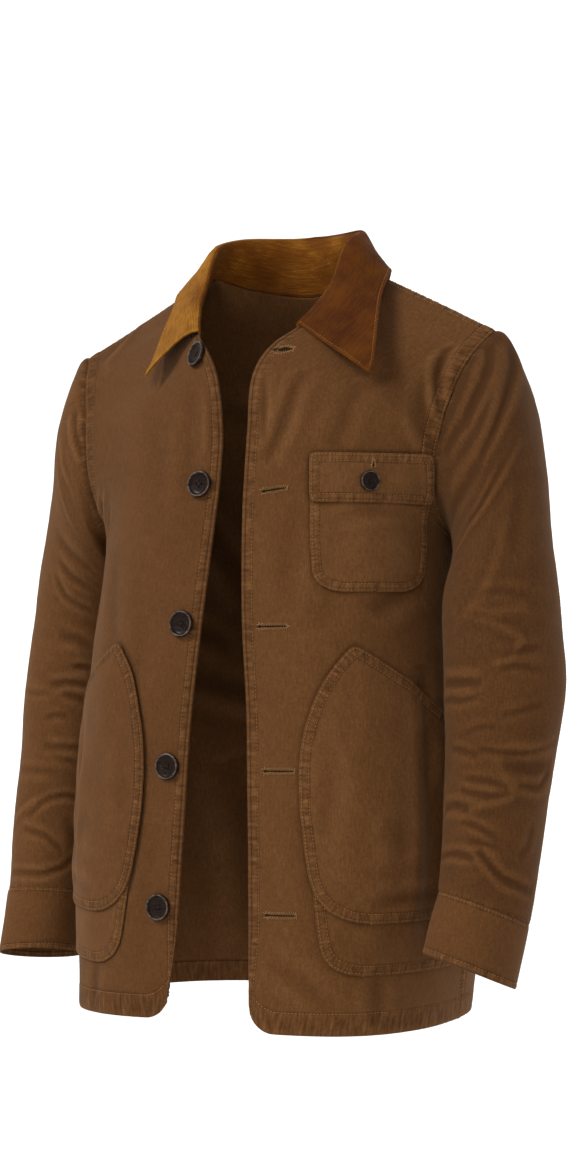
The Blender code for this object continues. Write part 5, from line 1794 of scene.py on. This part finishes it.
def keyhole(row, lift, trim=1.0):
    look = holeLook
    start, end, gape = np.array(row[:2]), np.array(row[2:4]), row[4]
    length = np.linalg.norm(end - start)
    ahead = (end - start) / length
    side = np.array((-ahead[1], ahead[0]))
    run = np.linspace(0, 1, look["steps"])
    width = look["cut"] + gape * np.sin(pi * run) ** 2
    eyelet = bell(run * length - look["eyeletAt"], look["eyeletWidth"])
    width = width + (look["eyelet"] - look["cut"]) * eyelet
    width = width * np.sqrt(np.clip(1 - (2 * run - 1) ** look["blunt"], 0, 1)) * trim
    line = start + ahead * (run * length)[:, None]
    slot = []
    for turn in np.linspace(0, 2 * pi, look["around"] + 1):
        spots = line + side * (width * cos(turn))[:, None]
        slot.append(onNet(nets[1], spots[:, 0], spots[:, 1], lift + look["cutRise"] * sin(turn))[0])
    slot = np.array(slot).transpose(1, 0, 2)
    loop = np.concatenate((line + side * width[:, None], (line - side * width[:, None])[::-1]))
    loop = np.concatenate((loop, loop[:1]))
    run = knotsOf(loop)
    edge = readAt(np.arange(0, run[-1], look["pitch"]), run, loop)
    step = np.gradient(edge, axis=0)
    out = unit(np.stack((-step[:, 1], step[:, 0]), axis=1))
    zigzag = edge + out * np.where(np.arange(len(edge)) % 2, look["wide"] * trim, look["near"])[:, None]
    path, facing = onNet(nets[1], zigzag[:, 0], zigzag[:, 1], lift + look["rise"])
    across = unit(np.cross(np.gradient(path, axis=0), facing))
    return slot, tube(path, across, facing, look["strand"], look["sides"])


cuts = [keyhole(row, cloth["wall"] / 2) for row in holeRows]
cuts.append(keyhole(flapHole, flapFace, holeLook["smallTrim"]))
# The cuts are dark tubes in the slits: painted shadow where each slit opens.
slitShade = threadMaterial("buttonhole slit shade", slitShadeLook)
threadPiece("buttonhole_cuts", [slot for slot, _ in cuts], slitShade)
threadPiece("stitching_buttonholes", [satin for _, satin in cuts], holeThread)
print("buttonholes made")
# Stage: a round white dish with a flat floor, far behind and below the jacket.
stageLook = dict(floor=-1.45, radius=9.0, bend=1.6, bendFrom=0.1, bendSteps=12, top=5.5, steps=96,
                 white=(0.90, 0.90, 0.90), rough=0.9)


def makeStage():
    look = stageLook
    inner = look["radius"] - look["bend"]
    line = [(0.0, look["floor"]), (inner, look["floor"])]
    line += [(inner + look["bend"] * sin(turn), look["floor"] + look["bend"] * (1 - cos(turn)))
             for turn in np.linspace(look["bendFrom"], pi / 2, look["bendSteps"])]
    line.append((look["radius"], look["top"]))
    mesh = spun("dish", line, look["steps"], 1e-5)
    mesh.shade_smooth()
    material, _, shader = startMaterial("dish white")
    shader.inputs["Base Color"].default_value = (*look["white"], 1.0)
    shader.inputs["Roughness"].default_value = look["rough"]
    mesh.materials.append(material)
    dish = placed("dish", mesh)
    dish.visible_shadow = False


lightLook = dict(key=2.7, keyAngle=18, keyFrom=(-40, 42), fill=0.6, fillAngle=40, fillFrom=(18, 20),
                 sky=0.50)


# A sun from a compass turn (0 in front, + towards the wearer's left) and a height.
def sun(name, strength, spread, turn, height):
    light = bpy.data.lights.new(name, "SUN")
    light.energy = strength
    light.angle = radians(spread)
    lamp = placed(name, light)
    a, e = radians(turn), radians(height)
    towards = Vector((sin(a) * cos(e), -cos(a) * cos(e), sin(e)))
    lamp.rotation_mode = "QUATERNION"
    lamp.rotation_quaternion = towards.to_track_quat("Z", "Y")


makeStage()
sun("key", lightLook["key"], lightLook["keyAngle"], *lightLook["keyFrom"])
sun("fill", lightLook["fill"], lightLook["fillAngle"], *lightLook["fillFrom"])
world = bpy.data.worlds.new("studio")
world.use_nodes = True
sky = world.node_tree.nodes["Background"]
sky.inputs["Color"].default_value = (1.0, 1.0, 1.0, 1.0)
sky.inputs["Strength"].default_value = lightLook["sky"]
bpy.context.scene.world = world
bpy.context.scene.view_settings.view_transform = "Standard"

viewLook = dict(turn=25, distance=2.5, height=-0.30, lens=79.6, width=36)
lens = bpy.data.cameras.new("camera")
lens.lens = viewLook["lens"]
lens.sensor_width = viewLook["width"]
eye = placed("camera", lens)
turn = radians(viewLook["turn"])
eye.location = (sin(turn) * viewLook["distance"], -cos(turn) * viewLook["distance"], viewLook["height"])
eye.rotation_euler = (pi / 2, 0, turn)
bpy.context.scene.camera = eye
print("stage, lights and camera made")
